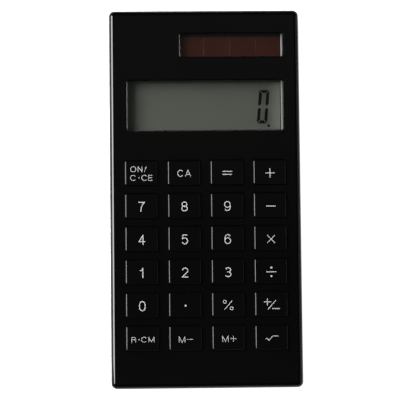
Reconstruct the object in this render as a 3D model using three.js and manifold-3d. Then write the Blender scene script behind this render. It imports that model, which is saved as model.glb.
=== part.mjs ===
// A slim solar pocket calculator: two black shells, 24 separate keys over a rubber dome mat, a display
// and a solar panel behind clear lenses, one circuit board, and a button cell under a sliding door.
//
// Sizes are millimetres. X points right, Y towards the display end and Z up, out of the keypad.
// The origin is under the middle of the body, on the plane that the four rubber feet stand on.
import * as THREE from "three";
import { mergeVertices } from "three/addons/utils/BufferGeometryUtils.js";
import Module from "manifold-3d";

// Body: one rounded slab, split into a front and a rear shell
const BODY_WIDTH = 62;
const BODY_LENGTH = 123;
const CORNER_RADIUS = 1.8;
const EDGE_RADIUS = 1.7;
const WALL = 1.5;
const REAR_FACE_Z = 0.6;
const REAR_INSIDE_Z = 2.1;
const PARTING_Z = 4.4;
const FRONT_INSIDE_Z = 7.8;
const FRONT_FACE_Z = 9.4;
const SEAM_GAP = 0.2;
const LIP = { thickness: 0.6, height: 0.8, clearance: 0.1 };

// Keypad: rows run down from the display, columns from left to right
const KEY = { width: 10.5, length: 8, corner: 0.5, proud: 0.8, edge: 0.45 };
const KEY_PITCH = { x: 13.9, y: 10.7 };
const TOP_ROW_Y = 8.2;
const KEY_CLEARANCE = 0.2;
const KEY_FLANGE = { overhang: 0.6, thickness: 0.6, gap: 0.05 };
const KEY_ROWS = [
  ["key_on_clear", "key_clear_all", "key_equals", "key_plus"],
  ["key_7", "key_8", "key_9", "key_minus"],
  ["key_4", "key_5", "key_6", "key_times"],
  ["key_1", "key_2", "key_3", "key_divide"],
  ["key_0", "key_point", "key_percent", "key_sign"],
  ["key_memory_recall", "key_memory_minus", "key_memory_plus", "key_root"],
];
const FLANGE_BOTTOM_Z = FRONT_INSIDE_Z - KEY_FLANGE.gap - KEY_FLANGE.thickness;

// Windows: the clear lenses stand in these openings and share their right-hand edge
const DISPLAY = { x: 0.1, y: 30.25, width: 51.2, length: 16.8 };
const SOLAR = { x: 8.75, y: 49.95, width: 33.9, length: 8.2 };
const LENS = { clearance: 0.1, corner: 0.7, proud: 0.15, edge: 0.3, flange: 1.0, thickness: 0.6 };

// Circuit board, with the dome mat on it and the parts behind the display on the same plane
const BOARD = { halfWidth: 28.6, bottomY: -55, topY: 57, bottomZ: 4.5, topZ: 5.5 };
const BOARD_CORNER_NOTCH = 2.8;
const LAYER_GAP = 0.02;
const MAT = { halfWidth: 28, bottomY: -51.5, topY: 13.7, thickness: 0.5, bossHole: 1.7 };
const DOME = { foot: 3.6, shoulder: 2.5, wall: 0.35, pill: 1.5, pillDrop: 0.3, sides: 8 };

// Display module: a glass sandwich whose front glass is longer, to carry the ribbon's contacts
const GLASS = { width: 54, topY: 40, rearBottomY: 20.4, frontBottomY: 17.8 };
const DISPLAY_STACK_Z = { reflector: 5.55, rearGlass: 5.7, frontGlass: 6.25, polariser: 6.8, top: 6.95 };
const DISPLAY_FRAME = { clearance: 0.15, wall: 1.45, lip: 0.2, ribbonSlotTopZ: 6.35 };
const FRAME_LIP_SHOWS = { left: -0.4, right: 0.6, bottom: 0.55, top: -0.35 }; // inside the opening's edges
const RIBBON = { halfWidth: 23, thickness: 0.12 };

// Solar panel and its foam tape
const PANEL = { width: 35.8, length: 10.2, bottomZ: 5.85, topZ: 6.95 };
const TAPE = { width: 33, length: 8, thickness: 0.28 };
const LEAD_RADIUS = 0.3;

// Button cell, the well that holds it and the door under it
const CELL = { x: -12, y: 49, radius: 5.8, bottomZ: 2.2, shoulderZ: 4.7, topZ: 5.25, capRadius: 4.7 };
const WELL = { inside: 6.15, outside: 7, floorZ: 2.8, rimZ: 4.2, window: 4.4 };
const TRAY = { halfWidth: 9.6, bottomY: 39.2 };
const DOOR = { halfWidth: 7.5, bottomY: 40.5, tongue: 0.85, faceThickness: 0.8, topZ: 2.1 };
const DOOR_CLEARANCE = 0.15;
const DOOR_GRIP = { count: 5, pitch: 1.3, width: 8, groove: 0.5, depth: 0.3, y: 43.6 };
const CONTACT_THICKNESS = 0.2;

// Screws and feet
const CASE_SCREW = { x: 27.3, y: 57.9, shank: 0.85, head: 1.95, headZ: 1.0, seatZ: 2.2, tipZ: 7.6 };
const CASE_BOSS = { front: 2.3, rear: 2.7, bore: 0.95, recess: 2.2, boreTopZ: 8.2 };
const BOARD_SCREW = { shank: 0.7, head: 1.25, headDepth: 0.8, tipZ: 7.4 };
const BOARD_BOSS = { radius: 1.3, bore: 0.78, boreTopZ: 8.0 };
const BOARD_SCREW_COLUMNS = [-13.9, 13.9];
const BOARD_SCREW_ROWS = [0.5, 4.5]; // in key pitches below the top row
const DRIVE_SLOT = { length: 1.9, width: 0.5, depth: 0.5 };
const REST_POSTS = [[0, 1.5], [0, 3.5], [-24.5, 2.5], [24.5, 2.5]]; // x, and key pitches below the top row
const POST_RADIUS = 1.2;
const FOOT = { x: 24, y: 52.5, radius: 3, height: 1.1, edge: 0.2, recess: 3.2 };
const LABEL_RECESS = { width: 30, length: 18, depth: 0.15, y: -12 };

// Detail: straight sides in one turn of a round piece
const ROUND = 20;
const SMALL_ROUND = 12;

const wasm = await Module();
wasm.setup();

// ---------- solids from three.js geometry ----------

// A closed geometry as a manifold-3d solid.
function solid(geometry) {
  const flat = geometry.index ? geometry.toNonIndexed() : geometry;
  const bare = new THREE.BufferGeometry().setAttribute("position", flat.getAttribute("position"));
  const merged = mergeVertices(bare, 1e-4);
  return new wasm.Manifold(
    new wasm.Mesh({
      numProp: 3,
      vertProperties: merged.attributes.position.array,
      triVerts: new Uint32Array(merged.index.array),
    }),
  );
}

// A solid back as a three.js geometry.
function geometryOf(made) {
  const mesh = made.getMesh();
  return new THREE.BufferGeometry()
    .setAttribute("position", new THREE.BufferAttribute(mesh.vertProperties.slice(), 3))
    .setIndex(new THREE.BufferAttribute(mesh.triVerts.slice(), 1));
}

function joined(solids) {
  return solids.reduce((sum, next) => sum.add(next));
}

function cut(body, tools) {
  return tools.reduce((rest, tool) => rest.subtract(tool), body);
}

// A rectangle with rounded corners, centred on x, y.
function roundedRectangle(width, length, radius, x = 0, y = 0) {
  const right = x + width / 2;
  const left = x - width / 2;
  const top = y + length / 2;
  const bottom = y - length / 2;
  const quarter = Math.PI / 2;
  return new THREE.Shape()
    .absarc(right - radius, top - radius, radius, 0, quarter)
    .absarc(left + radius, top - radius, radius, quarter, 2 * quarter)
    .absarc(left + radius, bottom + radius, radius, 2 * quarter, 3 * quarter)
    .absarc(right - radius, bottom + radius, radius, 3 * quarter, 4 * quarter);
}

// The shape pulled straight up from z0 to z1, with each corner arc cut into straight sides.
function prism(shape, z0, z1, cornerSides = 2) {
  const options = { depth: z1 - z0, bevelEnabled: false, curveSegments: cornerSides / 2 };
  return solid(new THREE.ExtrudeGeometry(shape, options).translate(0, 0, z0));
}

// A slab with rounded upright corners, and with its top and bottom edges rounded too.
function softSlab(size, z0, z1, edge, cornerSides, edgeSteps) {
  const shape = roundedRectangle(size.width, size.length, size.corner, size.x, size.y);
  const options = {
    depth: z1 - z0 - 2 * edge,
    bevelThickness: edge,
    bevelSize: edge,
    bevelOffset: -edge,
    bevelSegments: edgeSteps,
    curveSegments: cornerSides / 2,
  };
  return solid(new THREE.ExtrudeGeometry(shape, options).translate(0, 0, z0 + edge));
}

// An upright box from its two opposite corners.
function box(x0, x1, y0, y1, z0, z1) {
  const made = new THREE.BoxGeometry(x1 - x0, y1 - y0, z1 - z0);
  return solid(made.translate((x0 + x1) / 2, (y0 + y1) / 2, (z0 + z1) / 2));
}

// An upright cylinder.
function disc(radius, z0, z1, x = 0, y = 0, sides = ROUND) {
  const made = new THREE.CylinderGeometry(radius, radius, z1 - z0, sides);
  return solid(made.rotateX(Math.PI / 2).translate(x, y, (z0 + z1) / 2));
}

// A profile of [radius, z] pairs, from the axis up the outside and back to the axis, spun about Z.
function turned(profile, sides = ROUND) {
  const points = profile.map(([r, z]) => new THREE.Vector2(r, z));
  return solid(new THREE.LatheGeometry(points, sides).rotateX(Math.PI / 2));
}

// A thin strip that follows [along, height] points, with its width from w0 to w1 across.
// direction "y" runs it along Y with its width in X, and "x" runs it along X with its width in Y.
function strip(points, thickness, w0, w1, direction) {
  const lower = points.map(([a, z]) => new THREE.Vector2(a, z - thickness / 2));
  const upper = points.map(([a, z]) => new THREE.Vector2(a, z + thickness / 2)).reverse();
  const made = new THREE.ExtrudeGeometry(new THREE.Shape([...lower, ...upper]), {
    depth: w1 - w0,
    bevelEnabled: false,
  });
  const up = new THREE.Vector3(0, 0, 1);
  const x = new THREE.Vector3(1, 0, 0);
  const y = new THREE.Vector3(0, 1, 0);
  if (direction === "y") {
    return solid(made.applyMatrix4(new THREE.Matrix4().makeBasis(y, up, x)).translate(w0, 0, 0));
  }
  const back = y.clone().negate();
  return solid(made.applyMatrix4(new THREE.Matrix4().makeBasis(x, up, back)).translate(0, w1, 0));
}

// ---------- places shared by several pieces ----------

const keyCentres = KEY_ROWS.flatMap((row, down) =>
  row.map((name, across) => ({
    name,
    x: (across - 1.5) * KEY_PITCH.x,
    y: TOP_ROW_Y - down * KEY_PITCH.y,
  })),
);

const corners = [
  { name: "top_left", x: -1, y: 1 },
  { name: "top_right", x: 1, y: 1 },
  { name: "bottom_left", x: -1, y: -1 },
  { name: "bottom_right", x: 1, y: -1 },
];

const caseScrews = corners.map(({ name, x, y }) => ({ name, x: x * CASE_SCREW.x, y: y * CASE_SCREW.y }));
const feet = corners.map(({ name, x, y }) => ({ name, x: x * FOOT.x, y: y * FOOT.y }));

const boardScrews = BOARD_SCREW_ROWS.flatMap((row) =>
  BOARD_SCREW_COLUMNS.map((x) => ({ x, y: TOP_ROW_Y - row * KEY_PITCH.y })),
);

// ---------- body shells ----------

const bodySize = { width: BODY_WIDTH, length: BODY_LENGTH, corner: CORNER_RADIUS };
const slab = softSlab(bodySize, REAR_FACE_Z, FRONT_FACE_Z, EDGE_RADIUS, 5, 4);

// A slab as wide as the body, less an inset all round.
function insetPrism(inset, z0, z1) {
  const corner = Math.max(CORNER_RADIUS - inset, 0.4);
  return prism(roundedRectangle(BODY_WIDTH - 2 * inset, BODY_LENGTH - 2 * inset, corner), z0, z1);
}

const hollow = slab.subtract(insetPrism(WALL, REAR_INSIDE_Z, FRONT_INSIDE_Z));

// The lens's raised pane, grown by a gap for the opening that it stands in.
function pane(window, gap, z0, z1) {
  const shape = roundedRectangle(
    window.width - 2 * LENS.clearance + 2 * gap,
    window.length - 2 * LENS.clearance + 2 * gap,
    LENS.corner,
    window.x,
    window.y,
  );
  return prism(shape, z0, z1);
}

function frontHousing() {
  const shell = hollow.intersect(insetPrism(-1, PARTING_Z, FRONT_FACE_Z));
  const caseBosses = caseScrews.map(({ x, y }) =>
    disc(CASE_BOSS.front, PARTING_Z + 0.05, FRONT_INSIDE_Z + 0.1, x, y, SMALL_ROUND),
  );
  const boardBosses = boardScrews.map(({ x, y }) =>
    disc(BOARD_BOSS.radius, BOARD.topZ + LAYER_GAP, FRONT_INSIDE_Z + 0.1, x, y, SMALL_ROUND),
  );
  const keyHoles = keyCentres.map(({ x, y }) => {
    const width = KEY.width + 2 * KEY_CLEARANCE;
    const length = KEY.length + 2 * KEY_CLEARANCE;
    const shape = roundedRectangle(width, length, KEY.corner + KEY_CLEARANCE / 2, x, y);
    return prism(shape, FRONT_INSIDE_Z - 1, FRONT_FACE_Z + 1);
  });
  const windows = [DISPLAY, SOLAR].map((w) =>
    pane(w, LENS.clearance, FRONT_INSIDE_Z - 1, FRONT_FACE_Z + 1),
  );
  const rebateTop = PARTING_Z + LIP.height + LIP.clearance;
  const rebate = insetPrism(WALL - LIP.thickness - LIP.clearance, PARTING_Z - 1, rebateTop).subtract(
    insetPrism(WALL + LIP.clearance, PARTING_Z - 2, rebateTop + 1),
  );
  const caseBores = caseScrews.map(({ x, y }) =>
    disc(CASE_BOSS.bore, PARTING_Z - 1, CASE_BOSS.boreTopZ, x, y, SMALL_ROUND),
  );
  const boardBores = boardScrews.map(({ x, y }) =>
    disc(BOARD_BOSS.bore, BOARD.topZ - 1, BOARD_BOSS.boreTopZ, x, y, SMALL_ROUND),
  );
  const whole = joined([shell, ...caseBosses, ...boardBosses]);
  return cut(whole, [...keyHoles, ...windows, rebate, ...caseBores, ...boardBores]);
}

// The T-shaped slot that the battery door slides along, open through the top end wall.
function doorSlot() {
  const beyond = BODY_LENGTH / 2 + 1;
  const half = DOOR.halfWidth + DOOR_CLEARANCE;
  const start = DOOR.bottomY - DOOR_CLEARANCE;
  const stepZ = REAR_FACE_Z + DOOR.faceThickness;
  const endWall = BODY_LENGTH / 2 - WALL - DOOR_CLEARANCE;
  const left = CELL.x - half;
  const right = CELL.x + half;
  return joined([
    box(left, right, start, beyond, REAR_FACE_Z - 1, stepZ + 0.1),
    box(left - DOOR.tongue, right + DOOR.tongue, start, beyond, stepZ - 0.05, DOOR.topZ + 0.05),
    box(left, right, endWall, beyond, REAR_FACE_Z - 1, PARTING_Z - SEAM_GAP),
  ]);
}

function rearHousing() {
  const rim = PARTING_Z - SEAM_GAP;
  const shell = hollow.intersect(insetPrism(-1, REAR_FACE_Z, rim));
  const lip = insetPrism(WALL - LIP.thickness, rim - 0.5, PARTING_Z + LIP.height).subtract(
    insetPrism(WALL, rim - 1, PARTING_Z + LIP.height + 1),
  );
  const screwBosses = caseScrews.map(({ x, y }) =>
    disc(CASE_BOSS.rear, REAR_INSIDE_Z - 0.1, rim, x, y, SMALL_ROUND),
  );
  const posts = REST_POSTS.map(([x, row]) => {
    const y = TOP_ROW_Y - row * KEY_PITCH.y;
    return disc(POST_RADIUS, REAR_INSIDE_Z - 0.1, BOARD.bottomZ - LAYER_GAP, x, y, SMALL_ROUND);
  });
  const trayEnd = BODY_LENGTH / 2 - WALL + 0.1;
  const tray = box(
    CELL.x - TRAY.halfWidth,
    CELL.x + TRAY.halfWidth,
    TRAY.bottomY,
    trayEnd,
    REAR_INSIDE_Z - 0.1,
    WELL.floorZ,
  );
  const wellWall = disc(WELL.outside, WELL.floorZ - 0.1, WELL.rimZ, CELL.x, CELL.y);
  const wellHole = disc(WELL.inside, REAR_FACE_Z, WELL.rimZ + 1, CELL.x, CELL.y);
  const halfWindow = WELL.window / 2;
  const contactWindow = box(
    CELL.x - halfWindow,
    CELL.x + halfWindow,
    CELL.y - WELL.outside - 0.5,
    CELL.y - CELL.radius,
    WELL.floorZ,
    WELL.rimZ + 1,
  );
  const screwRecesses = caseScrews.map(({ x, y }) =>
    disc(CASE_BOSS.recess, REAR_FACE_Z - 1, CASE_SCREW.seatZ, x, y),
  );
  const screwBores = caseScrews.map(({ x, y }) =>
    disc(CASE_BOSS.bore, CASE_SCREW.seatZ - 1, PARTING_Z + 1, x, y, SMALL_ROUND),
  );
  const footRecesses = feet.map(({ x, y }) =>
    disc(FOOT.recess, REAR_FACE_Z - 1, FOOT.height + LAYER_GAP, x, y),
  );
  const label = box(
    -LABEL_RECESS.width / 2,
    LABEL_RECESS.width / 2,
    LABEL_RECESS.y - LABEL_RECESS.length / 2,
    LABEL_RECESS.y + LABEL_RECESS.length / 2,
    REAR_FACE_Z - 1,
    REAR_FACE_Z + LABEL_RECESS.depth,
  );
  const whole = joined([shell, lip, ...screwBosses, ...posts, tray, wellWall]);
  return cut(whole, [
    wellHole,
    contactWindow,
    doorSlot(),
    ...screwRecesses,
    ...screwBores,
    ...footRecesses,
    label,
  ]);
}

// The door is cut from the same slab as the shells, so its end carries on the body's rounded edge.
function batteryDoor() {
  const endY = BODY_LENGTH / 2;
  const stepZ = REAR_FACE_Z + DOOR.faceThickness;
  const left = CELL.x - DOOR.halfWidth;
  const right = CELL.x + DOOR.halfWidth;
  const plates = joined([
    box(left, right, DOOR.bottomY, endY, REAR_FACE_Z, DOOR.topZ),
    box(left - DOOR.tongue, right + DOOR.tongue, DOOR.bottomY, endY, stepZ + 0.15, DOOR.topZ),
    box(left, right, endY - WALL, endY, REAR_FACE_Z, PARTING_Z - SEAM_GAP - 0.1),
  ]);
  const grooves = Array.from({ length: DOOR_GRIP.count }, (_, i) => {
    const y = DOOR_GRIP.y + i * DOOR_GRIP.pitch;
    return box(
      CELL.x - DOOR_GRIP.width / 2,
      CELL.x + DOOR_GRIP.width / 2,
      y,
      y + DOOR_GRIP.groove,
      REAR_FACE_Z - 1,
      REAR_FACE_Z + DOOR_GRIP.depth,
    );
  });
  return cut(slab.intersect(plates), grooves);
}

// ---------- keypad ----------

// One key about its own centre, with z = 0 at the underside of its flange.
function keyCap() {
  const flange = prism(
    roundedRectangle(
      KEY.width + 2 * KEY_FLANGE.overhang,
      KEY.length + 2 * KEY_FLANGE.overhang,
      KEY.corner,
    ),
    0,
    KEY_FLANGE.thickness,
    1,
  );
  const top = FRONT_FACE_Z + KEY.proud - FLANGE_BOTTOM_Z;
  return flange.add(softSlab(KEY, 0.1, top, KEY.edge, 2, 2));
}

// The rubber mat: a sheet with a dome under each key, hollow below, with a carbon pill inside.
function domeMat() {
  const foot = BOARD.topZ + LAYER_GAP;
  const sheetTop = foot + MAT.thickness;
  const domeTop = FLANGE_BOTTOM_Z - 0.05;
  const middleY = (MAT.topY + MAT.bottomY) / 2;
  const sheet = prism(
    roundedRectangle(2 * MAT.halfWidth, MAT.topY - MAT.bottomY, 1, 0, middleY),
    foot,
    sheetTop,
  );
  const ceiling = domeTop - DOME.wall;
  const dome = turned(
    [
      [0, foot + 0.1],
      [DOME.foot, foot + 0.1],
      [DOME.foot, sheetTop],
      [DOME.shoulder, domeTop],
      [0, domeTop],
    ],
    DOME.sides,
  );
  const inside = turned(
    [
      [0, foot - 0.5],
      [DOME.foot - DOME.wall, foot - 0.5],
      [DOME.foot - DOME.wall, sheetTop - 0.1],
      [DOME.shoulder - DOME.wall, ceiling],
      [DOME.pill, ceiling],
      [DOME.pill, ceiling - DOME.pillDrop],
      [0, ceiling - DOME.pillDrop],
    ],
    DOME.sides,
  );
  const holes = boardScrews.map(({ x, y }) =>
    disc(MAT.bossHole, foot - 1, sheetTop + 1, x, y, SMALL_ROUND),
  );
  const domes = keyCentres.map(({ x, y }) => dome.translate([x, y, 0]));
  const hollows = keyCentres.map(({ x, y }) => inside.translate([x, y, 0]));
  return cut(joined([sheet, ...domes]), [...hollows, ...holes]);
}

// ---------- circuit board and its parts ----------

function circuitBoard() {
  const { halfWidth, bottomY, topY, bottomZ, topZ } = BOARD;
  const board = box(-halfWidth, halfWidth, bottomY, topY, bottomZ, topZ);
  const notches = caseScrews.map(({ x, y }) =>
    disc(BOARD_CORNER_NOTCH, bottomZ - 1, topZ + 1, x, y, SMALL_ROUND),
  );
  const cellHole = disc(CELL.radius + 0.5, bottomZ - 1, topZ + 1, CELL.x, CELL.y);
  const screwHoles = boardScrews.map(({ x, y }) =>
    disc(BOARD_BOSS.bore, bottomZ - 1, topZ + 1, x, y, SMALL_ROUND),
  );
  return cut(board, [...notches, cellHole, ...screwHoles]);
}

// The drop of epoxy over the bare chip, hanging under the board.
function chipCover() {
  const radius = 4.5;
  const drop = 1.3;
  const steps = 4;
  const top = BOARD.bottomZ - LAYER_GAP;
  const profile = Array.from({ length: steps + 1 }, (_, i) => {
    const angle = (Math.PI / 2) * (i / steps);
    return [radius * Math.sin(angle), top - drop * Math.cos(angle)];
  });
  return turned([...profile, [0, top]], SMALL_ROUND + 2);
}

// A small moulded component under the board, at its own place.
function boardComponent(x, y, width, length, height) {
  const top = BOARD.bottomZ - LAYER_GAP;
  return box(x - width / 2, x + width / 2, y - length / 2, y + length / 2, top - height, top);
}

// ---------- display ----------

function glassPlate(bottomY, z0, z1, inset = 0) {
  const half = GLASS.width / 2 - inset;
  return box(-half, half, bottomY + inset, GLASS.topY - inset, z0, z1 - LAYER_GAP);
}

// The frame round the glass. Its lip covers the glass's edges, and shows at the window's right and bottom.
function displayFrame() {
  const { clearance, wall, lip, ribbonSlotTopZ } = DISPLAY_FRAME;
  const shows = FRAME_LIP_SHOWS;
  const inner = GLASS.width / 2 + clearance;
  const outer = inner + wall;
  const top = GLASS.topY + clearance;
  const bottom = GLASS.frontBottomY - clearance;
  const z0 = DISPLAY_STACK_Z.reflector;
  const z1 = DISPLAY_STACK_Z.top;
  const ribbonHalf = RIBBON.halfWidth + 0.5;
  const view = roundedRectangle(
    DISPLAY.width - shows.left - shows.right,
    DISPLAY.length - shows.bottom - shows.top,
    LENS.corner / 2,
    DISPLAY.x + (shows.left - shows.right) / 2,
    DISPLAY.y + (shows.bottom - shows.top) / 2,
  );
  return cut(box(-outer, outer, bottom - wall, top + wall, z0, z1 + lip), [
    box(-inner, inner, bottom, top, z0 - 1, z1),
    prism(view, z0, z1 + lip + 1),
    box(-ribbonHalf, ribbonHalf, bottom - wall - 1, bottom + 1, z0 - 1, ribbonSlotTopZ),
  ]);
}

// The heat-seal ribbon, from under the front glass's ledge down to the board.
function displayRibbon() {
  const ledgeZ = DISPLAY_STACK_Z.frontGlass - RIBBON.thickness / 2 - LAYER_GAP;
  const boardZ = BOARD.topZ + RIBBON.thickness / 2 + LAYER_GAP;
  const ledgeEnd = GLASS.rearBottomY - 0.2;
  const points = [
    [MAT.topY + 0.4, boardZ],
    [MAT.topY + 2.2, boardZ],
    [GLASS.frontBottomY + 0.4, ledgeZ],
    [ledgeEnd, ledgeZ],
  ];
  return strip(points, RIBBON.thickness, -RIBBON.halfWidth, RIBBON.halfWidth, "y");
}

// A clear lens: a raised pane that fills its window, on a flange bonded behind the front wall.
function lens(window) {
  const paneSize = {
    width: window.width - 2 * LENS.clearance,
    length: window.length - 2 * LENS.clearance,
    corner: LENS.corner,
    x: window.x,
    y: window.y,
  };
  const flangeTop = FRONT_INSIDE_Z - LAYER_GAP;
  const flangeBottom = FRONT_INSIDE_Z - LENS.thickness;
  const flange = prism(
    roundedRectangle(
      window.width + 2 * LENS.flange,
      window.length + 2 * LENS.flange,
      LENS.corner,
      window.x,
      window.y,
    ),
    flangeBottom,
    flangeTop,
  );
  const top = FRONT_FACE_Z + LENS.proud;
  return flange.add(softSlab(paneSize, flangeBottom + 0.1, top, LENS.edge, 2, 2));
}

// ---------- solar panel ----------

function solarPanel() {
  const shape = roundedRectangle(PANEL.width, PANEL.length, 0.2, SOLAR.x, SOLAR.y);
  return prism(shape, PANEL.bottomZ, PANEL.topZ);
}

function solarTape() {
  const bottom = BOARD.topZ + LAYER_GAP;
  const shape = roundedRectangle(TAPE.width, TAPE.length, 0.2, SOLAR.x, SOLAR.y);
  return prism(shape, bottom, bottom + TAPE.thickness);
}

// An insulated wire from the panel's end to the board, at the given y.
function solarLead(y) {
  const panelEnd = SOLAR.x + PANEL.width / 2 + 0.05;
  const turnX = panelEnd + 1.25;
  const path = new THREE.CatmullRomCurve3([
    new THREE.Vector3(panelEnd, y, 6.4),
    new THREE.Vector3(panelEnd + 0.8, y, 6.4),
    new THREE.Vector3(turnX, y, 6.05),
    new THREE.Vector3(turnX, y, BOARD.topZ + 0.1),
  ]);
  const section = new THREE.Shape().absarc(0, 0, LEAD_RADIUS, 0, 2 * Math.PI);
  const options = { extrudePath: path, steps: 8, curveSegments: 4 };
  return solid(new THREE.ExtrudeGeometry(section, options));
}

// ---------- button cell and contacts ----------

function buttonCell() {
  const { radius, bottomZ, shoulderZ, topZ, capRadius } = CELL;
  const edge = 0.25;
  return turned([
    [0, bottomZ],
    [radius - edge, bottomZ],
    [radius, bottomZ + edge],
    [radius, shoulderZ - edge],
    [radius - edge, shoulderZ],
    [capRadius, shoulderZ],
    [capRadius - edge, topZ],
    [0, topZ],
  ]);
}

// The leaf spring on the board that bears on the cell's small face.
function negativeContact() {
  const onBoard = BOARD.topZ + LAYER_GAP + CONTACT_THICKNESS / 2;
  const onCell = CELL.topZ + LAYER_GAP + CONTACT_THICKNESS / 2;
  const points = [
    [CELL.x - 12, onBoard],
    [CELL.x - 5.7, onBoard],
    [CELL.x - 3.5, onCell],
    [CELL.x + 1.5, onCell],
    [CELL.x + 2.2, onCell + 0.12],
  ];
  return strip(points, CONTACT_THICKNESS, CELL.y - 2, CELL.y + 2, "x");
}

// The angle under the board whose upright tab touches the side of the cell's can.
function positiveContact() {
  const half = 1.6;
  const top = BOARD.bottomZ - LAYER_GAP;
  const tabY = CELL.y - CELL.radius - 0.05;
  const left = CELL.x - half;
  const right = CELL.x + half;
  return joined([
    box(left, right, tabY - 5.2, tabY, top - CONTACT_THICKNESS, top),
    box(left, right, tabY - CONTACT_THICKNESS, tabY, WELL.floorZ + 0.2, top),
  ]);
}

// ---------- screws and feet ----------

// A screw about its own axis, head down, with z = 0 under the head's outer face.
function screw(headRadius, headHeight, shankRadius, tip) {
  const body = turned(
    [
      [0, 0],
      [headRadius - 0.15, 0],
      [headRadius, 0.15],
      [headRadius, headHeight],
      [shankRadius, headHeight],
      [shankRadius, tip - shankRadius],
      [0, tip],
    ],
    SMALL_ROUND,
  );
  const long = Math.min(DRIVE_SLOT.length, 1.3 * headRadius) / 2;
  const half = DRIVE_SLOT.width / 2;
  return cut(body, [
    box(-long, long, -half, half, -1, DRIVE_SLOT.depth),
    box(-half, half, -long, long, -1, DRIVE_SLOT.depth),
  ]);
}

function rubberFoot() {
  return turned([
    [0, 0],
    [FOOT.radius - FOOT.edge, 0],
    [FOOT.radius, FOOT.edge],
    [FOOT.radius, FOOT.height],
    [0, FOOT.height],
  ]);
}

// ---------- materials ----------

function material(color, roughness, metalness = 0) {
  return new THREE.MeshStandardMaterial({ color, roughness, metalness });
}

const glossBlack = material(0x0b0b0c, 0.12);
const keyBlack = material(0x0c0c0d, 0.18);
const clearAcrylic = material(0xdfe3e0, 0.03);
const displayGrey = material(0x6f746a, 0.45);
const glass = material(0xc9d2cc, 0.05);
const framePlastic = material(0xd9d9d4, 0.6);
const solarBrown = material(0x3a211c, 0.15);
const foamBlack = material(0x1a1a1a, 0.95);
const rubberGrey = material(0x55585a, 0.8);
const rubberBlack = material(0x151515, 0.85);
const boardGreen = material(0x2f5a36, 0.5);
const epoxyBlack = material(0x080808, 0.3);
const componentTan = material(0xa9793d, 0.5);
const steel = material(0xb9bbbd, 0.3, 1);
const spring = material(0xc9b27a, 0.35, 1);
const film = material(0x8a6a3a, 0.4);
const redWire = material(0xa01818, 0.5);
const blackWire = material(0x101010, 0.5);

// ---------- assembly ----------

const calculator = new THREE.Group();

function addPiece(name, geometry, surface, x = 0, y = 0, z = 0) {
  const mesh = new THREE.Mesh(geometry, surface);
  mesh.name = name;
  mesh.position.set(x, y, z);
  calculator.add(mesh);
}

addPiece("front_housing", geometryOf(frontHousing()), glossBlack);
addPiece("rear_housing", geometryOf(rearHousing()), glossBlack);
addPiece("battery_door", geometryOf(batteryDoor()), glossBlack);

addPiece("display_lens", geometryOf(lens(DISPLAY)), clearAcrylic);
addPiece("solar_lens", geometryOf(lens(SOLAR)), clearAcrylic);

const keyGeometry = geometryOf(keyCap());
for (const { name, x, y } of keyCentres) {
  addPiece(name, keyGeometry, keyBlack, x, y, FLANGE_BOTTOM_Z);
}
addPiece("dome_mat", geometryOf(domeMat()), rubberGrey);

const stack = DISPLAY_STACK_Z;
const { rearBottomY, frontBottomY } = GLASS;
const reflector = glassPlate(rearBottomY, stack.reflector, stack.rearGlass, 0.3);
const rearGlass = glassPlate(rearBottomY, stack.rearGlass, stack.frontGlass);
const frontGlass = glassPlate(frontBottomY, stack.frontGlass, stack.polariser);
const polariser = glassPlate(rearBottomY, stack.polariser, stack.top, 0.3);
addPiece("display_reflector", geometryOf(reflector), displayGrey);
addPiece("display_rear_glass", geometryOf(rearGlass), glass);
addPiece("display_front_glass", geometryOf(frontGlass), glass);
addPiece("display_polariser", geometryOf(polariser), displayGrey);
addPiece("display_frame", geometryOf(displayFrame()), framePlastic);
addPiece("display_ribbon", geometryOf(displayRibbon()), film);

addPiece("solar_panel", geometryOf(solarPanel()), solarBrown);
addPiece("solar_tape", geometryOf(solarTape()), foamBlack);
addPiece("solar_lead_positive", geometryOf(solarLead(SOLAR.y + 1.8)), redWire);
addPiece("solar_lead_negative", geometryOf(solarLead(SOLAR.y - 1.8)), blackWire);

addPiece("circuit_board", geometryOf(circuitBoard()), boardGreen);
addPiece("chip_cover", geometryOf(chipCover()), epoxyBlack, 10, 28);
addPiece("capacitor", geometryOf(boardComponent(-15, 26, 3.5, 2.8, 1.9)), componentTan);
addPiece("resistor", geometryOf(boardComponent(-6, 26, 2, 1.25, 0.6)), epoxyBlack);

addPiece("button_cell", geometryOf(buttonCell()), steel, CELL.x, CELL.y);
addPiece("negative_contact", geometryOf(negativeContact()), spring);
addPiece("positive_contact", geometryOf(positiveContact()), spring);

const { head, headZ, seatZ, shank, tipZ } = CASE_SCREW;
const caseScrew = geometryOf(screw(head, seatZ - headZ - LAYER_GAP, shank, tipZ - headZ));
for (const { name, x, y } of caseScrews) {
  addPiece("case_screw_" + name, caseScrew, steel, x, y, headZ);
}

const boardHeadZ = BOARD.bottomZ - LAYER_GAP - BOARD_SCREW.headDepth;
const boardScrew = geometryOf(
  screw(BOARD_SCREW.head, BOARD_SCREW.headDepth, BOARD_SCREW.shank, BOARD_SCREW.tipZ - boardHeadZ),
);
boardScrews.forEach(({ x, y }, i) => addPiece(`board_screw_${i + 1}`, boardScrew, steel, x, y, boardHeadZ));

const foot = geometryOf(rubberFoot());
for (const { name, x, y } of feet) {
  addPiece("foot_" + name, foot, rubberBlack, x, y);
}

export default calculator;
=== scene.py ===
import math

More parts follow.
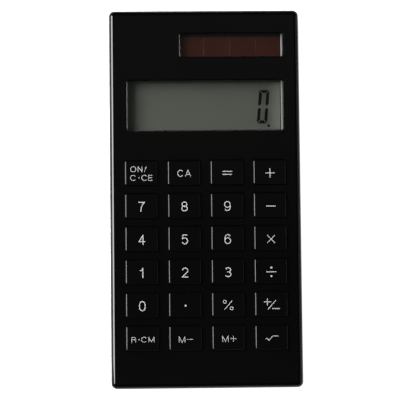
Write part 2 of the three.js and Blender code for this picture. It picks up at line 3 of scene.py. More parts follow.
import bmesh
import bpy
import numpy as np
from mathutils import Euler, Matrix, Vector


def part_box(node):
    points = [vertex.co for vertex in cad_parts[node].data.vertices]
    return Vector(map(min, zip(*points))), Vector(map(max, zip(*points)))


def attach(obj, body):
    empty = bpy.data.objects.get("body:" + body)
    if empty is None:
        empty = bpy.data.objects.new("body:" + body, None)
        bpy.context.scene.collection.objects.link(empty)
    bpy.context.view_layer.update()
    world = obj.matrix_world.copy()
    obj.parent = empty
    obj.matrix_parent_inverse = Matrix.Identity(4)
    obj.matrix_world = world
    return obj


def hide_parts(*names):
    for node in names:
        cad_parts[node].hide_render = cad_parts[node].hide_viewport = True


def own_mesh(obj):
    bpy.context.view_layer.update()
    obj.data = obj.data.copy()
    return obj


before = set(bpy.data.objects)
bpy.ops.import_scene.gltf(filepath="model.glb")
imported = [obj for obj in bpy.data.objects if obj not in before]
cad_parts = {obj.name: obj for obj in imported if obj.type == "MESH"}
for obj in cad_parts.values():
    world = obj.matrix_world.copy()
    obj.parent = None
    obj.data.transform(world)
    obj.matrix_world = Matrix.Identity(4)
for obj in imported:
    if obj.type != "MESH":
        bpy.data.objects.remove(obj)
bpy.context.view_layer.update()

# A slim solar pocket calculator's looks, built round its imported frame. X points right, Y towards the display
# end and Z up, out of the keypad. Sizes are millimetres until Shell turns them into a mesh.

MM = 0.001

# ---------------------------------------------------------------- sizes shared by several pieces


class Box:
    """A CAD node's box at rest."""

    def __init__(self, node):
        low, high = (np.array(corner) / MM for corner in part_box(node))
        self.low, self.high = low, high
        self.centre = (low + high) / 2
        self.size = high - low
        self.z0, self.z1 = low[2], high[2]


KEYS = (
    "on_clear", "clear_all", "equals", "plus",
    "7", "8", "9", "minus",
    "4", "5", "6", "times",
    "1", "2", "3", "divide",
    "0", "point", "percent", "sign",
    "memory_recall", "memory_minus", "memory_plus", "root",
)
CORNERS = ("top_left", "top_right", "bottom_left", "bottom_right")
BOARD_SCREWS = [f"board_screw_{number}" for number in (1, 2, 3, 4)]

FRONT = Box("front_housing")
REAR_Z = Box("rear_housing").z0
BODY_SIZE = FRONT.size[:2]
END_Y = BODY_SIZE[1] / 2
FACE_Z = FRONT.z1
PARTING_Z = FRONT.z0
SEAM_GAP = 0.2
REAR_RIM_Z = PARTING_Z - SEAM_GAP
BOARD_TOP_Z = Box("circuit_board").z1
WALL = 1.5
INSIDE_TOP_Z = FACE_Z - 1.6
INSIDE_FLOOR_Z = REAR_Z + WALL
BODY_CORNER = 1.8
BODY_EDGE = 1.7
KEY_OVERHANG = 0.6
KEY_CLEARANCE = 0.2
LENS_FLANGE = 1.0
LENS_CLEARANCE = 0.1
LENS_CORNER = 0.7
SCREW_BORE = 0.95


def key_cap_size(key):
    return Box("key_" + key).size[:2] - 2 * KEY_OVERHANG


def lens_pane(node):
    """Centre and size of a lens's raised pane."""
    lens_box = Box(node)
    return lens_box.centre[:2], lens_box.size[:2] - 2 * (LENS_FLANGE + LENS_CLEARANCE)


# ---------------------------------------------------------------- outlines, sections and meshes

SMOOTH_ANGLE = 32  # degrees: sharper edges than this aren't smoothed
RIM = 0.03


def rounded_outline(at, size, radius, steps=5):
    """A rounded rectangle's points, anticlockwise."""
    radius = max(min(radius, size[0] / 2, size[1] / 2), 1e-3)
    points = []
    for turn, (side_x, side_y) in enumerate(((1, 1), (-1, 1), (-1, -1), (1, -1))):
        x = at[0] + side_x * (size[0] / 2 - radius)
        y = at[1] + side_y * (size[1] / 2 - radius)
        for step in range(steps + 1):
            angle = math.pi / 2 * (turn + step / steps)
            points.append((x + radius * math.cos(angle), y + radius * math.sin(angle)))
    return points


def circle_outline(at, radius, sides=48):
    turns = [2 * math.pi * i / sides for i in range(sides)]
    return [(at[0] + radius * math.cos(a), at[1] + radius * math.sin(a)) for a in turns]


def rounded_edge(radius, steps, z, side=1):
    """(inset, z) levels round an edge, from a piece's side wall to its flat face at z.

    Side 1 is a top edge and -1 a bottom edge. A narrow flat rim comes last, to keep the shading even.
    """
    turns = [math.pi / 2 * i / steps for i in range(steps + 1)]
    levels = [(radius * (1 - math.cos(a)), z - side * radius * (1 - math.sin(a))) for a in turns]
    return levels + [(radius + RIM, z)]


def inset_sections(at, size, corner, levels, steps=5, least_corner=0.0):
    """(outline, z) sections of a rounded rectangle, one for each (inset, z) level."""
    sections = []
    for inset, z in levels:
        inner = (size[0] - 2 * inset, size[1] - 2 * inset)
        sections.append((rounded_outline(at, inner, max(corner - inset, least_corner), steps), z))
    return sections


def body_sections(levels):
    return inset_sections((0, 0), BODY_SIZE, BODY_CORNER, levels, steps=8, least_corner=0.4)


def shade_smooth(data, angle):
    data.shade_smooth()
    data.set_sharp_from_angle(angle=math.radians(angle))


class Shell:
    """Builds one closed mesh from rings of vertices."""

    def __init__(self):
        self.mesh = bmesh.new()

    def ring(self, outline, z):
        return [self.mesh.verts.new((x * MM, y * MM, z * MM)) for x, y in outline]

    def bridge(self, first, second):
        for i in range(len(first)):
            j = (i + 1) % len(first)
            self.mesh.faces.new((first[i], first[j], second[j], second[i]))

    def stack(self, sections):
        """Joins (outline, z) sections by side walls and returns their rings."""
        rings = [self.ring(outline, z) for outline, z in sections]
        for first, second in zip(rings, rings[1:]):
            self.bridge(first, second)
        return rings

    def cap(self, ring):
        self.mesh.faces.new(ring)

    def fill(self, rings):
        """A flat face between rings: one that lies inside another bounds a hole."""
        edges = []
        for ring in rings:
            for vertex, following in zip(ring, ring[1:] + ring[:1]):
                edge = self.mesh.edges.get((vertex, following))
                edges.append(edge or self.mesh.edges.new((vertex, following)))
        bmesh.ops.triangle_fill(self.mesh, use_beauty=True, edges=edges)

    def done(self, name, material, angle=SMOOTH_ANGLE):
        bmesh.ops.recalc_face_normals(self.mesh, faces=self.mesh.faces[:])
        data = bpy.data.meshes.new(name)
        self.mesh.to_mesh(data)
        self.mesh.free()
        shade_smooth(data, angle)
        if material:
            data.materials.append(material)
        made = bpy.data.objects.new(name, data)
        bpy.context.scene.collection.objects.link(made)
        return made


def lofted(name, material, sections, angle=SMOOTH_ANGLE):
    """A closed solid through (outline, z) sections, with flat ends."""
    shell = Shell()
    rings = shell.stack(sections)
    shell.cap(rings[0])
    shell.cap(rings[-1])
    return shell.done(name, material, angle)


def spun(name, material, at, profile, sides=64, angle=SMOOTH_ANGLE):
    """An upright solid of revolution through (radius, z) pairs, with flat ends."""
    return lofted(name, material, [(circle_outline(at, r, sides), z) for r, z in profile], angle)


def soft_plate(name, material, at, size, corner, z0, z1, top=0.0, bottom=0.0, steps=5, corner_steps=5):
    """A rounded plate, with its top and bottom edges rounded where a radius is given."""
    levels = rounded_edge(bottom, steps, z0, -1)[::-1] if bottom else [(0, z0)]
    levels += rounded_edge(top, steps, z1) if top else [(0, z1)]
    return lofted(name, material, inset_sections(at, size, corner, levels, corner_steps))


def flat_plate(name, material, outlines, z0, z1, angle=40):
    """A flat plate: an outline that lies inside another bounds a hole."""
    shell = Shell()
    walls = [shell.stack([(outline, z0), (outline, z1)]) for outline in outlines]
    shell.fill([lower for lower, _ in walls])
    shell.fill([upper for _, upper in walls])
    return shell.done(name, material, angle)


def block(x0, x1, y0, y1, z0, z1, name="cutter", material=None):
    outline = [(x1, y1), (x0, y1), (x0, y0), (x1, y0)]
    return lofted(name, material, [(outline, z0), (outline, z1)])


def disc(at, radius, z0, z1, sides=48):
    return spun("cutter", None, at, [(radius, z0), (radius, z1)], sides)


def combine(target, tools, operation, angle=SMOOTH_ANGLE):
    """Joins, cuts or intersects target with each tool, and deletes the tools."""
    for tool in tools:
        modifier = target.modifiers.new("combine", "BOOLEAN")
        modifier.operation = operation
        modifier.solver = "EXACT"
        modifier.object = tool
        with bpy.context.temp_override(object=target, active_object=target, selected_objects=[target]):
            bpy.ops.object.modifier_apply(modifier="combine")
        bpy.data.objects.remove(tool)
    shade_smooth(target.data, angle)
    return target


def place(piece, body, slot, *nodes):
    """Rides a piece on its body and hides the CAD nodes that it stands for. The slot argument is not used."""
    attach(piece, body)
    if nodes:
        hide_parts(*nodes)
    return piece


# ---------------------------------------------------------------- node trees


def rgb(red, green, blue):
    return (red, green, blue, 1.0)


def shade(tint, factor, lift=0.0):
    """A lighter or darker version of a tint."""
    return rgb(*(min(1.0, factor * channel + lift) for channel in tint))


class Nodes:
    """A material's or a world's node tree, built up call by call."""

    def __init__(self, owner, output):
        owner.use_nodes = True
        self.owner = owner
        self.tree = owner.node_tree
        self.tree.nodes.clear()
        self.output = self.add(output)

    def add(self, kind, inputs=None, **settings):
        node = self.tree.nodes.new(kind)
        for key, value in settings.items():
            setattr(node, key, value)
        for key, value in (inputs or {}).items():
            if isinstance(value, bpy.types.NodeSocket):
                self.tree.links.new(value, node.inputs[key])
            else:
                node.inputs[key].default_value = value
        return node

    def ramp(self, value, low, high, out_low, out_high, curve="LINEAR"):
        settings = {0: value, 1: low, 2: high, 3: out_low, 4: out_high}
        return self.add("ShaderNodeMapRange", settings, interpolation_type=curve).outputs[0]

    def math(self, operation, first, second=0.0):
        return self.add("ShaderNodeMath", {0: first, 1: second}, operation=operation).outputs[0]

    def mix(self, share, first, second):
        """A colour between two colours."""
        return self.add("ShaderNodeMix", {0: share, 6: first, 7: second}, data_type="RGBA").outputs[2]

    def between(self, share, first, second):
        """A number between two numbers."""
        return self.add("ShaderNodeMix", {0: share, 2: first, 3: second}).outputs[0]

    def axes(self, vector):
        return self.add("ShaderNodeSeparateXYZ", {0: vector}).outputs

    def rays(self):
        return self.add("ShaderNodeLightPath").outputs

    def finish(self, shader):
        self.tree.links.new(shader, self.output.inputs["Surface"])
        return self.owner


class Surface(Nodes):
    """A material, with the inputs and helpers that most of them share."""

    def __init__(self, name):
        super().__init__(bpy.data.materials.new(name), "ShaderNodeOutputMaterial")
        self.place = self.add("ShaderNodeTexCoord").outputs["Object"]

    def noise(self, size_mm, detail=2.0, rough=0.5, stretch=None):
        """Noise whose features are about size_mm across."""
        where = self.place
        if stretch:
            where = self.add("ShaderNodeMapping", {"Vector": where, "Scale": stretch}).outputs[0]
        settings = {"Vector": where, "Scale": 1 / (size_mm * MM), "Detail": detail, "Roughness": rough}
        return self.add("ShaderNodeTexNoise", settings).outputs["Fac"]

    def bump(self, height, distance_mm, strength=1.0, normal=None):
        inputs = {"Height": height, "Distance": distance_mm * MM, "Strength": strength}
        if normal:
            inputs["Normal"] = normal
        return self.add("ShaderNodeBump", inputs).outputs[0]

    def clear(self, tint):
        return self.add("ShaderNodeBsdfTransparent", {"Color": tint}).outputs[0]

    def sheen(self, through, ior, rough, **inputs):
        """A mirror-like coat over a see-through shader, on front faces only."""
        settings = {"Color": rgb(1, 1, 1), "Roughness": rough, **inputs}
        coat = self.add("ShaderNodeBsdfAnisotropic", settings).outputs[0]
        share = self.add("ShaderNodeFresnel", {"IOR": ior, **inputs}).outputs[0]
        behind = self.add("ShaderNodeNewGeometry").outputs["Backfacing"]
        share = self.math("MULTIPLY", share, self.math("SUBTRACT", 1.0, behind))
        return self.finish(self.add("ShaderNodeMixShader", {0: share, 1: through, 2: coat}).outputs[0])

    def principled(self, **inputs):
        """Ends the material in a Principled shader: base_color sets its Base Color, and so on."""
        titles = [key.replace("_", " ").title().replace("Ior", "IOR") for key in inputs]
        named = dict(zip(titles, inputs.values()))
        return self.finish(self.add("ShaderNodeBsdfPrincipled", named).outputs[0])


# ---------------------------------------------------------------- materials


def gloss_plastic(name, tint, roughness, peel):
    """Moulded and polished plastic: slight flow marks, fine haze and faint hairline scratches."""
    s = Surface(name)
    colour = s.mix(s.noise(14, 3.0), shade(tint, 0.75), shade(tint, 1.3))
    rough = s.ramp(s.noise(2.2, 4.0, 0.6), 0.3, 0.75, roughness * 0.8, roughness * 1.25)
    hairs = s.noise(0.35, 3.0, 0.7, stretch=(1.0, 0.035, 1.0))
    rough = s.math("ADD", rough, s.ramp(hairs, 0.72, 0.8, 0.0, 0.02))
    normal = s.bump(s.noise(1.6, 2.0), peel)
    return s.principled(base_color=colour, roughness=rough, ior=1.49, normal=normal)


def clear_plastic(name):
    """A clear window: light goes straight through, and the rounded rim has a satin gleam and a dark
    see-through tint, painted shade for the darkening that refraction gives a curved edge.
    """
    s = Surface(name)
    upright = s.axes(s.add("ShaderNodeNewGeometry").outputs["True Normal"])["Z"]
    flat = s.ramp(s.math("ABSOLUTE", upright), 0.90, 0.997, 0.0, 1.0)
    # Painted shade: the rim's see-through tint is dark, in place of the darkening that refraction through the
    # rounded edge gives.
    tint = s.mix(flat, rgb(0.12, 0.12, 0.12), rgb(0.93, 0.95, 0.93))
    rough = s.ramp(s.noise(3.0, 3.0), 0.35, 0.75, 0.02, 0.05)
    rough = s.math("ADD", rough, s.ramp(flat, 0.0, 1.0, 0.25, 0.0))
    normal = s.bump(s.noise(5.0, 1.0), 0.002)
    return s.sheen(s.clear(tint), 1.49, rough, Normal=normal)


def glass_sheet(name, tint, ior):
    """Bonded glass or film: nearly all light goes through, with a faint streaked sheen on top."""
    s = Surface(name)
    return s.sheen(s.clear(rgb(*tint)), ior, s.ramp(s.noise(8.0, 2.0), 0.3, 0.7, 0.03, 0.08))


def display_film(name):
    """The display's grey-green reflector, finely mottled, with painted light: lighter towards the right end,
    where the frame throws light back, and a little lighter towards the bottom.
    """
    s = Surface(name)
    mottle = s.noise(0.12, 3.0, 0.7)
    base = s.mix(s.noise(18, 2.0), rgb(0.074, 0.0775, 0.0685), rgb(0.0815, 0.0835, 0.076))
    colour = s.mix(s.ramp(mottle, 0.3, 0.7, 0.0, 0.2), base, rgb(0.093, 0.0945, 0.085))
    across = s.axes(s.add("ShaderNodeTexCoord").outputs["Generated"])
    # Painted light: the colour turns lighter towards the right end and towards the bottom.
    right = s.ramp(across["X"], 0.88, 0.96, 0.0, 0.72)
    lower = s.ramp(across["Y"], 0.85, 0.10, 0.0, 0.15)
    colour = s.mix(s.math("ADD", right, lower), colour, rgb(0.165, 0.164, 0.149))
    return s.principled(base_color=colour, roughness=0.5, ior=1.2, normal=s.bump(mottle, 0.0005))


def display_ink(name):
    """Dark liquid-crystal segments, which throw only a weak shadow on the reflector behind them."""
    s = Surface(name)
    grain = s.noise(0.2, 2.0)
    colour = s.mix(grain, rgb(0.0015, 0.0018, 0.0020), rgb(0.003, 0.0035, 0.004))
    settings = {"Base Color": colour, "Roughness": s.ramp(grain, 0.3, 0.7, 0.12, 0.18)}
    ink = s.add("ShaderNodeBsdfPrincipled", settings).outputs[0]
    share = s.math("MULTIPLY", s.rays()["Is Shadow Ray"], 0.85)
    return s.finish(s.add("ShaderNodeMixShader", {0: share, 1: ink, 2: s.clear(rgb(1, 1, 1))}).outputs[0])


def printed_ink(name, darker, lighter, relief, **inputs):
    """Dull printed ink, finely grained and very slightly uneven."""
    s = Surface(name)
    grain = s.noise(0.15, 3.0, 0.65)
    colour = s.mix(grain, darker, lighter)
    return s.principled(base_color=colour, roughness=0.5, normal=s.bump(grain, relief), **inputs)


def painted_shade_strip(name, tint):
    """A dark strip behind a window's top edge, painted shade that deepens the shadow there; it mirrors less
    than bare ink does.
    """
    return printed_ink(name, shade(tint, 0.85), shade(tint, 1.15), 0.002, ior=1.2)


def grained(name, colours, cloud, grain, roughness, relief, **inputs):
    """A surface whose colour is clouded, and whose roughness and height follow a finer grain."""
    s = Surface(name)
    fine = s.noise(*grain)
    colour = s.mix(s.noise(*cloud), *colours)
    rough = s.ramp(fine, 0.3, 0.7, *roughness)
    return s.principled(base_color=colour, roughness=rough, normal=s.bump(fine, relief), **inputs)


def satin_plastic(name, tint, roughness, grain_mm=0.25):
    """Matt moulded plastic, paint or glaze with a fine grain."""
    colours = (shade(tint, 0.88), shade(tint, 1.08))
    rough = (roughness * 0.85, roughness * 1.15)
    return grained(name, colours, (9, 2.0), (grain_mm, 3.0, 0.6), rough, 0.006)


def rubber(name, tint, roughness):
    """Soft grained rubber or foam, with a little pale dust."""
    s = Surface(name)
    grain = s.noise(0.18, 4.0, 0.7)
    dust = s.ramp(s.noise(2.5, 3.0), 0.5, 0.8, 0.0, 0.25)
    colour = s.mix(dust, rgb(*tint), shade(tint, 1.5, 0.02))
    rough = s.ramp(grain, 0.3, 0.7, roughness * 0.9, min(1.0, roughness * 1.15))
    return s.principled(base_color=colour, roughness=rough, normal=s.bump(grain, 0.015))


def metal(name, tint, roughness):
    """Plated metal with fine drawn lines and faint staining."""
    colours = (shade(tint, 0.85), shade(tint, 1.05))
    lines = (0.12, 3.0, 0.6, (1.0, 0.04, 1.0))
    rough = (roughness * 0.75, roughness * 1.3)
    return grained(name, colours, (3.0, 3.0), lines, rough, 0.002, metallic=1.0)


def solar_cell(name):
    """Amorphous silicon behind glass: dark red-brown, a little uneven in hue."""
    s = Surface(name)
    fine = s.noise(0.5, 3.0)
    colour = s.mix(s.noise(6.0, 3.0, 0.6), rgb(0.0205, 0.0048, 0.0036), rgb(0.033, 0.0088, 0.0042))
    colour = s.mix(s.ramp(fine, 0.4, 0.8, 0.0, 0.3), colour, rgb(0.026, 0.0052, 0.008))
    return s.principled(base_color=colour, roughness=0.09, ior=1.5, normal=s.bump(fine, 0.0005))


def circuit_laminate(name):
    """Green solder mask over copper tracks on a woven glass board."""
    s = Surface(name)
    bands = {"Vector": s.place, "Scale": 900.0, "Distortion": 0.6, "Detail": 1.0}
    weave = s.add("ShaderNodeTexWave", bands, bands_direction="DIAGONAL").outputs["Fac"]
    grid = {
        "Vector": s.place,
        "Scale": 160.0,
        "Mortar Size": 0.06,
        "Mortar Smooth": 0.1,
        "Color1": rgb(0.02, 0.10, 0.035),
        "Color2": rgb(0.018, 0.085, 0.03),
        "Mortar": rgb(0.045, 0.18, 0.06),
    }
    tracks = s.add("ShaderNodeTexBrick", grid).outputs
    colour = s.mix(s.math("MULTIPLY", weave, 0.18), tracks["Color"], rgb(0.05, 0.17, 0.07))
    normal = s.bump(tracks["Fac"], 0.02, 0.6, s.bump(weave, 0.004))
    return s.principled(base_color=colour, roughness=0.32, normal=normal)


def ribbon_film(name):
    """Amber film with fine black carbon tracks that run along it."""
    s = Surface(name)
    pitch_mm = 0.9
    phase = s.math("FRACT", s.math("MULTIPLY", s.axes(s.place)["X"], 1 / (pitch_mm * MM)))
    track = s.math("GREATER_THAN", phase, 0.5)
    amber = s.mix(s.noise(4.0), rgb(0.30, 0.16, 0.045), rgb(0.40, 0.22, 0.07))
    colour = s.mix(track, amber, rgb(0.02, 0.02, 0.02))
    return s.principled(base_color=colour, roughness=0.4, normal=s.bump(track, 0.008))


def pale_floor(name):
    """The studio floor: near white, lifted so that only contact shadows show."""
    s = Surface(name)
    rays = s.rays()
    sheet_colour = s.mix(s.noise(40, 2.0), rgb(0.80, 0.80, 0.80), rgb(0.83, 0.83, 0.83))
    sheet = s.add("ShaderNodeBsdfDiffuse", {"Color": sheet_colour}).outputs[0]
    strength = s.math("MULTIPLY", rays["Is Camera Ray"], 0.92)
    lift = s.add("ShaderNodeEmission", {"Color": rgb(1, 1, 1), "Strength": strength}).outputs[0]
    return s.finish(s.add("ShaderNodeAddShader", {0: sheet, 1: lift}).outputs[0])


case_black = gloss_plastic("case_black", (0.0012, 0.0012, 0.0011), 0.045, 0.002)
key_black = gloss_plastic("key_black", (0.0013, 0.0013, 0.0013), 0.07, 0.001)
lens_clear = clear_plastic("lens_clear")
display_glass = glass_sheet("display_glass", (0.94, 0.945, 0.94), 1.05)
polariser_film = glass_sheet("polariser_film", (0.93, 0.935, 0.925), 1.15)
film_grey = display_film("film_grey")
segment_ink = display_ink("segment_ink")
print_white = printed_ink("print_white", rgb(0.40, 0.40, 0.40), rgb(0.48, 0.48, 0.475), 0.004)
# Dark strips that paint shade under the windows' top edges.
border_ink = painted_shade_strip("border_ink", (0.026, 0.027, 0.025))
panel_mask = painted_shade_strip("panel_mask", (0.0028, 0.0028, 0.0028))
frame_grey = satin_plastic("frame_grey", (0.27, 0.27, 0.255), 0.45)
cell_gap = satin_plastic("cell_gap", (0.028, 0.022, 0.020), 0.15)
silver_ink = satin_plastic("silver_ink", (0.42, 0.42, 0.41), 0.4)
epoxy = satin_plastic("epoxy", (0.006, 0.006, 0.006), 0.25, 0.6)
ceramic = satin_plastic("ceramic", (0.30, 0.17, 0.07), 0.5, 0.1)
wire_red = satin_plastic("wire_red", (0.33, 0.012, 0.010), 0.4)
wire_black = satin_plastic("wire_black", (0.010, 0.010, 0.010), 0.4)
label_grey = satin_plastic("label_grey", (0.030, 0.030, 0.031), 0.6, 0.12)
mat_grey = rubber("mat_grey", (0.22, 0.225, 0.23), 0.75)
foot_black = rubber("foot_black", (0.012, 0.012, 0.012), 0.8)
foam_black = rubber("foam_black", (0.03, 0.03, 0.03), 0.95)
nickel = metal("nickel", (0.66, 0.66, 0.65), 0.22)
zinc = metal("zinc", (0.55, 0.55, 0.54), 0.35)
bronze = metal("bronze", (0.72, 0.55, 0.30), 0.3)
cell_brown = solar_cell("cell_brown")
board_green = circuit_laminate("board_green")
amber_film = ribbon_film("amber_film")

# ---------------------------------------------------------------- front housing

OVERSHOOT = 1.0  # how far a cutter reaches past the surface that it cuts
SINK = 0.1  # how far a solid sinks into the one that it is joined to
LIP_THICKNESS, LIP_HEIGHT, LIP_CLEARANCE, LIP_ROOT = 0.6, 0.8, 0.1, 0.5
PARTING_EDGE = 0.12
OPENING_EDGE = 0.05
KEY_OPENING_CORNER = 0.6
LENS_OPENING_CORNER = 0.8
# Radius, bore radius, height of the free end, height of the blind end of the bore.
CASE_BOSS = (2.0, SCREW_BORE, PARTING_Z + 0.05, 8.2)
BOARD_BOSS = (1.3, 0.78, BOARD_TOP_Z + 0.02, 8.0)


def opening(shell, at, size, corner):
    """An opening through the front wall with a softened top edge: returns its top and bottom rings."""
    levels = [(-grow, z) for grow, z in rounded_edge(OPENING_EDGE, 3, FACE_Z)[::-1]]
    rings = shell.stack(inset_sections(at, size, corner, levels + [(0, INSIDE_TOP_Z)]))
    return rings[0], rings[-1]


def boss(shell, at, radius, bore, end_z, blind_z):
    """A hollow post under the front wall: returns the ring where it meets the wall."""
    profile = [(radius, INSIDE_TOP_Z), (radius, end_z), (bore, end_z), (bore, blind_z)]
    rings = shell.stack([(circle_outline(at, r, 32), z) for r, z in profile])
    shell.cap(rings[-1])
    return rings[0]


def front_housing():
    shell = Shell()
    holes = []
    for key in KEYS:
        size = key_cap_size(key) + 2 * KEY_CLEARANCE
        holes.append(opening(shell, Box("key_" + key).centre, size, KEY_OPENING_CORNER))
    for node in ("display_lens", "solar_lens"):
        at, size = lens_pane(node)
        holes.append(opening(shell, at, size + 2 * LENS_CLEARANCE, LENS_OPENING_CORNER))
    feet = [boss(shell, Box("case_screw_" + corner).centre, *CASE_BOSS) for corner in CORNERS]
    feet += [boss(shell, Box(screw).centre, *BOARD_BOSS) for screw in BOARD_SCREWS]
    rebate_z = PARTING_Z + LIP_HEIGHT + LIP_CLEARANCE
    rebate_inset = WALL - LIP_THICKNESS - LIP_CLEARANCE
    levels = [(WALL, INSIDE_TOP_Z), (WALL, rebate_z), (rebate_inset, rebate_z), (rebate_inset, PARTING_Z)]
    levels += rounded_edge(PARTING_EDGE, 3, PARTING_Z, -1)[-2::-1]
    levels += rounded_edge(BODY_EDGE, 14, FACE_Z)
    rings = shell.stack(body_sections(levels))
    shell.fill([rings[-1]] + [top for top, _ in holes])
    shell.fill([rings[0]] + [bottom for _, bottom in holes] + feet)
    return shell.done("front_case", case_black)


place(front_housing(), "casing", "case_plastic", "front_housing")

# ---------------------------------------------------------------- rear housing and battery door

DOOR = Box("battery_door")
DOOR_X = DOOR.centre[0]
DOOR_TONGUE = 0.85
DOOR_GAP = 0.15
DOOR_HALF = DOOR.size[0] / 2 - DOOR_TONGUE
# Heights above the case's underside.
TONGUE_LEVELS = (0.95, 1.5)
SLOT_MOUTH_TOP = 0.9
SLOT_LEVELS = (0.75, 1.55)
GRIP_GROOVES, GRIP_START, GRIP_PITCH, GRIP_GROOVE, GRIP_DEPTH, GRIP_HALF = 5, 3.1, 1.3, 0.5, 0.3, 4

CELL = Box("button_cell")
CELL_RADIUS = CELL.size[1] / 2
WELL_RADIUS, WELL_GAP, WELL_FLOOR_Z, WELL_RIM_Z = 7.0, 0.35, 2.8, 4.2
WELL_WINDOW_HALF, WELL_WINDOW_REACH = 2.2, (7.5, 5.8)
TRAY_HALF, TRAY_START_Y = 9.6, 39.2
REAR_BOSS_RADIUS = 2.7
SCREW_RECESS_RADIUS, SCREW_SEAT_Z = 2.2, 2.2
FOOT_RECESS_RADIUS, FOOT_RECESS_GAP = 3.2, 0.02
LABEL_AT = (0, -12)
LABEL_POCKET, LABEL_POCKET_CORNER, LABEL_POCKET_DEPTH = (30, 18), 1.2, 0.15
LABEL_GAP = 0.3
LABEL_CORNER = 1.0
LABEL_LEVELS = (0.03, 0.14)


def outer_slab(name):
    """The rear half of the body's outer form, up to its rim."""
    levels = rounded_edge(BODY_EDGE, 14, REAR_Z, -1)[::-1] + [(0, REAR_RIM_Z)]
    return lofted(name, case_black, body_sections(levels))


def lip():
    """The rear shell's lip, which stands inside the front shell's wall."""
    outer, low, high = WALL - LIP_THICKNESS, REAR_RIM_Z - LIP_ROOT, PARTING_Z + LIP_HEIGHT
    shell = Shell()
    rings = shell.stack(body_sections([(outer, low), (outer, high), (WALL, high), (WALL, low)]))
    shell.bridge(rings[-1], rings[0])
    return shell.done("lip", None)


def door_slot():
    left, right = DOOR_X - DOOR_HALF - DOOR_GAP, DOOR_X + DOOR_HALF + DOOR_GAP
    start, beyond, below = DOOR.low[1] - DOOR_GAP, END_Y + OVERSHOOT, REAR_Z - OVERSHOOT
    tongue_low, tongue_high = (REAR_Z + level for level in SLOT_LEVELS)
    return [
        block(left, right, start, beyond, below, REAR_Z + SLOT_MOUTH_TOP),
        block(left - DOOR_TONGUE, right + DOOR_TONGUE, start, beyond, tongue_low, tongue_high),
        block(left, right, END_Y - WALL - DOOR_GAP, beyond, below, REAR_RIM_Z),
    ]


def rear_housing():
    body = outer_slab("rear_case")
    hollow = body_sections([(WALL, INSIDE_FLOOR_Z), (WALL, REAR_RIM_Z + OVERSHOOT)])
    combine(body, [lofted("cutter", None, hollow)], "DIFFERENCE")

    root_z, lip_z = INSIDE_FLOOR_Z - SINK, PARTING_Z + LIP_HEIGHT
    screws = [Box("case_screw_" + corner).centre for corner in CORNERS]
    added = [lip()] + [disc(at, REAR_BOSS_RADIUS, root_z, REAR_RIM_Z) for at in screws]
    tray = (DOOR_X - TRAY_HALF, DOOR_X + TRAY_HALF, TRAY_START_Y, END_Y - WALL + SINK)
    added.append(block(*tray, root_z, WELL_FLOOR_Z))
    added.append(disc(CELL.centre, WELL_RADIUS, WELL_FLOOR_Z - SINK, WELL_RIM_Z, 72))
    combine(body, added, "UNION")

    x, y = CELL.centre[:2]
    far, near = WELL_WINDOW_REACH
    window = (x - WELL_WINDOW_HALF, x + WELL_WINDOW_HALF, y - far, y - near)
    well = disc(CELL.centre, CELL_RADIUS + WELL_GAP, REAR_Z, lip_z, 72)
    cuts = [well, block(*window, WELL_FLOOR_Z, lip_z)] + door_slot()
    below = REAR_Z - OVERSHOOT
    for at, corner in zip(screws, CORNERS):
        foot = Box("foot_" + corner)
        cuts.append(disc(at, SCREW_RECESS_RADIUS, below, SCREW_SEAT_Z))
        cuts.append(disc(at, SCREW_BORE, SCREW_SEAT_Z - OVERSHOOT, PARTING_Z + OVERSHOOT, 32))
        cuts.append(disc(foot.centre, FOOT_RECESS_RADIUS, below, foot.z1 + FOOT_RECESS_GAP, 64))
    pocket = rounded_outline(LABEL_AT, LABEL_POCKET, LABEL_POCKET_CORNER, steps=6)
    cuts.append(lofted("cutter", None, [(pocket, z) for z in (below, REAR_Z + LABEL_POCKET_DEPTH)]))
    return combine(body, cuts, "DIFFERENCE")


def battery_door():
    left, right = DOOR_X - DOOR_HALF, DOOR_X + DOOR_HALF
    start, beyond, below = DOOR.low[1], END_Y + OVERSHOOT, REAR_Z - OVERSHOOT
    tongue_low, tongue_high = (REAR_Z + level for level in TONGUE_LEVELS)
    plate = block(left, right, start, beyond, below, tongue_high)
    tongues = block(left - DOOR_TONGUE, right + DOOR_TONGUE, start, beyond, tongue_low, tongue_high)
    end_wall = block(left, right, END_Y - WALL, beyond, below, DOOR.z1)
    combine(plate, [tongues, end_wall], "UNION")
    door = combine(outer_slab("cell_door"), [plate], "INTERSECT")
    grooves = []
    for i in range(GRIP_GROOVES):
        y = start + GRIP_START + GRIP_PITCH * i
        edges = (DOOR_X - GRIP_HALF, DOOR_X + GRIP_HALF, y, y + GRIP_GROOVE)
        grooves.append(block(*edges, below, REAR_Z + GRIP_DEPTH))
    return combine(door, grooves, "DIFFERENCE")


place(rear_housing(), "casing", "case_plastic", "rear_housing")
place(battery_door(), "battery_door", "case_plastic", "battery_door")

# ---------------------------------------------------------------- keys

KEY_FLANGE = 0.6
KEY_EDGE = 0.45
KEY_CORNER, KEY_LEAST_CORNER = 0.5, 0.06


def key_cap(key):
    box = Box("key_" + key)
    flange_top = box.z0 + KEY_FLANGE
    levels = [(-KEY_OVERHANG, box.z0), (-KEY_OVERHANG, flange_top), (0, flange_top)]
    levels += rounded_edge(KEY_EDGE, 7, box.z1)
    form = (key_cap_size(key), KEY_CORNER, levels)
    sections = inset_sections(box.centre, *form, least_corner=KEY_LEAST_CORNER)
    return lofted("cap_" + key, key_black, sections)


for key in KEYS:
    place(key_cap(key), "key_" + key, "key_plastic", "key_" + key)

# ---------------------------------------------------------------- printed outlines

# A stroke is (points, width, closed). Ink is the outline of the strokes' distance field.

FIELD_CELL = 0.035
OUTLINE_TOLERANCE = 0.004
FAR = 1e3


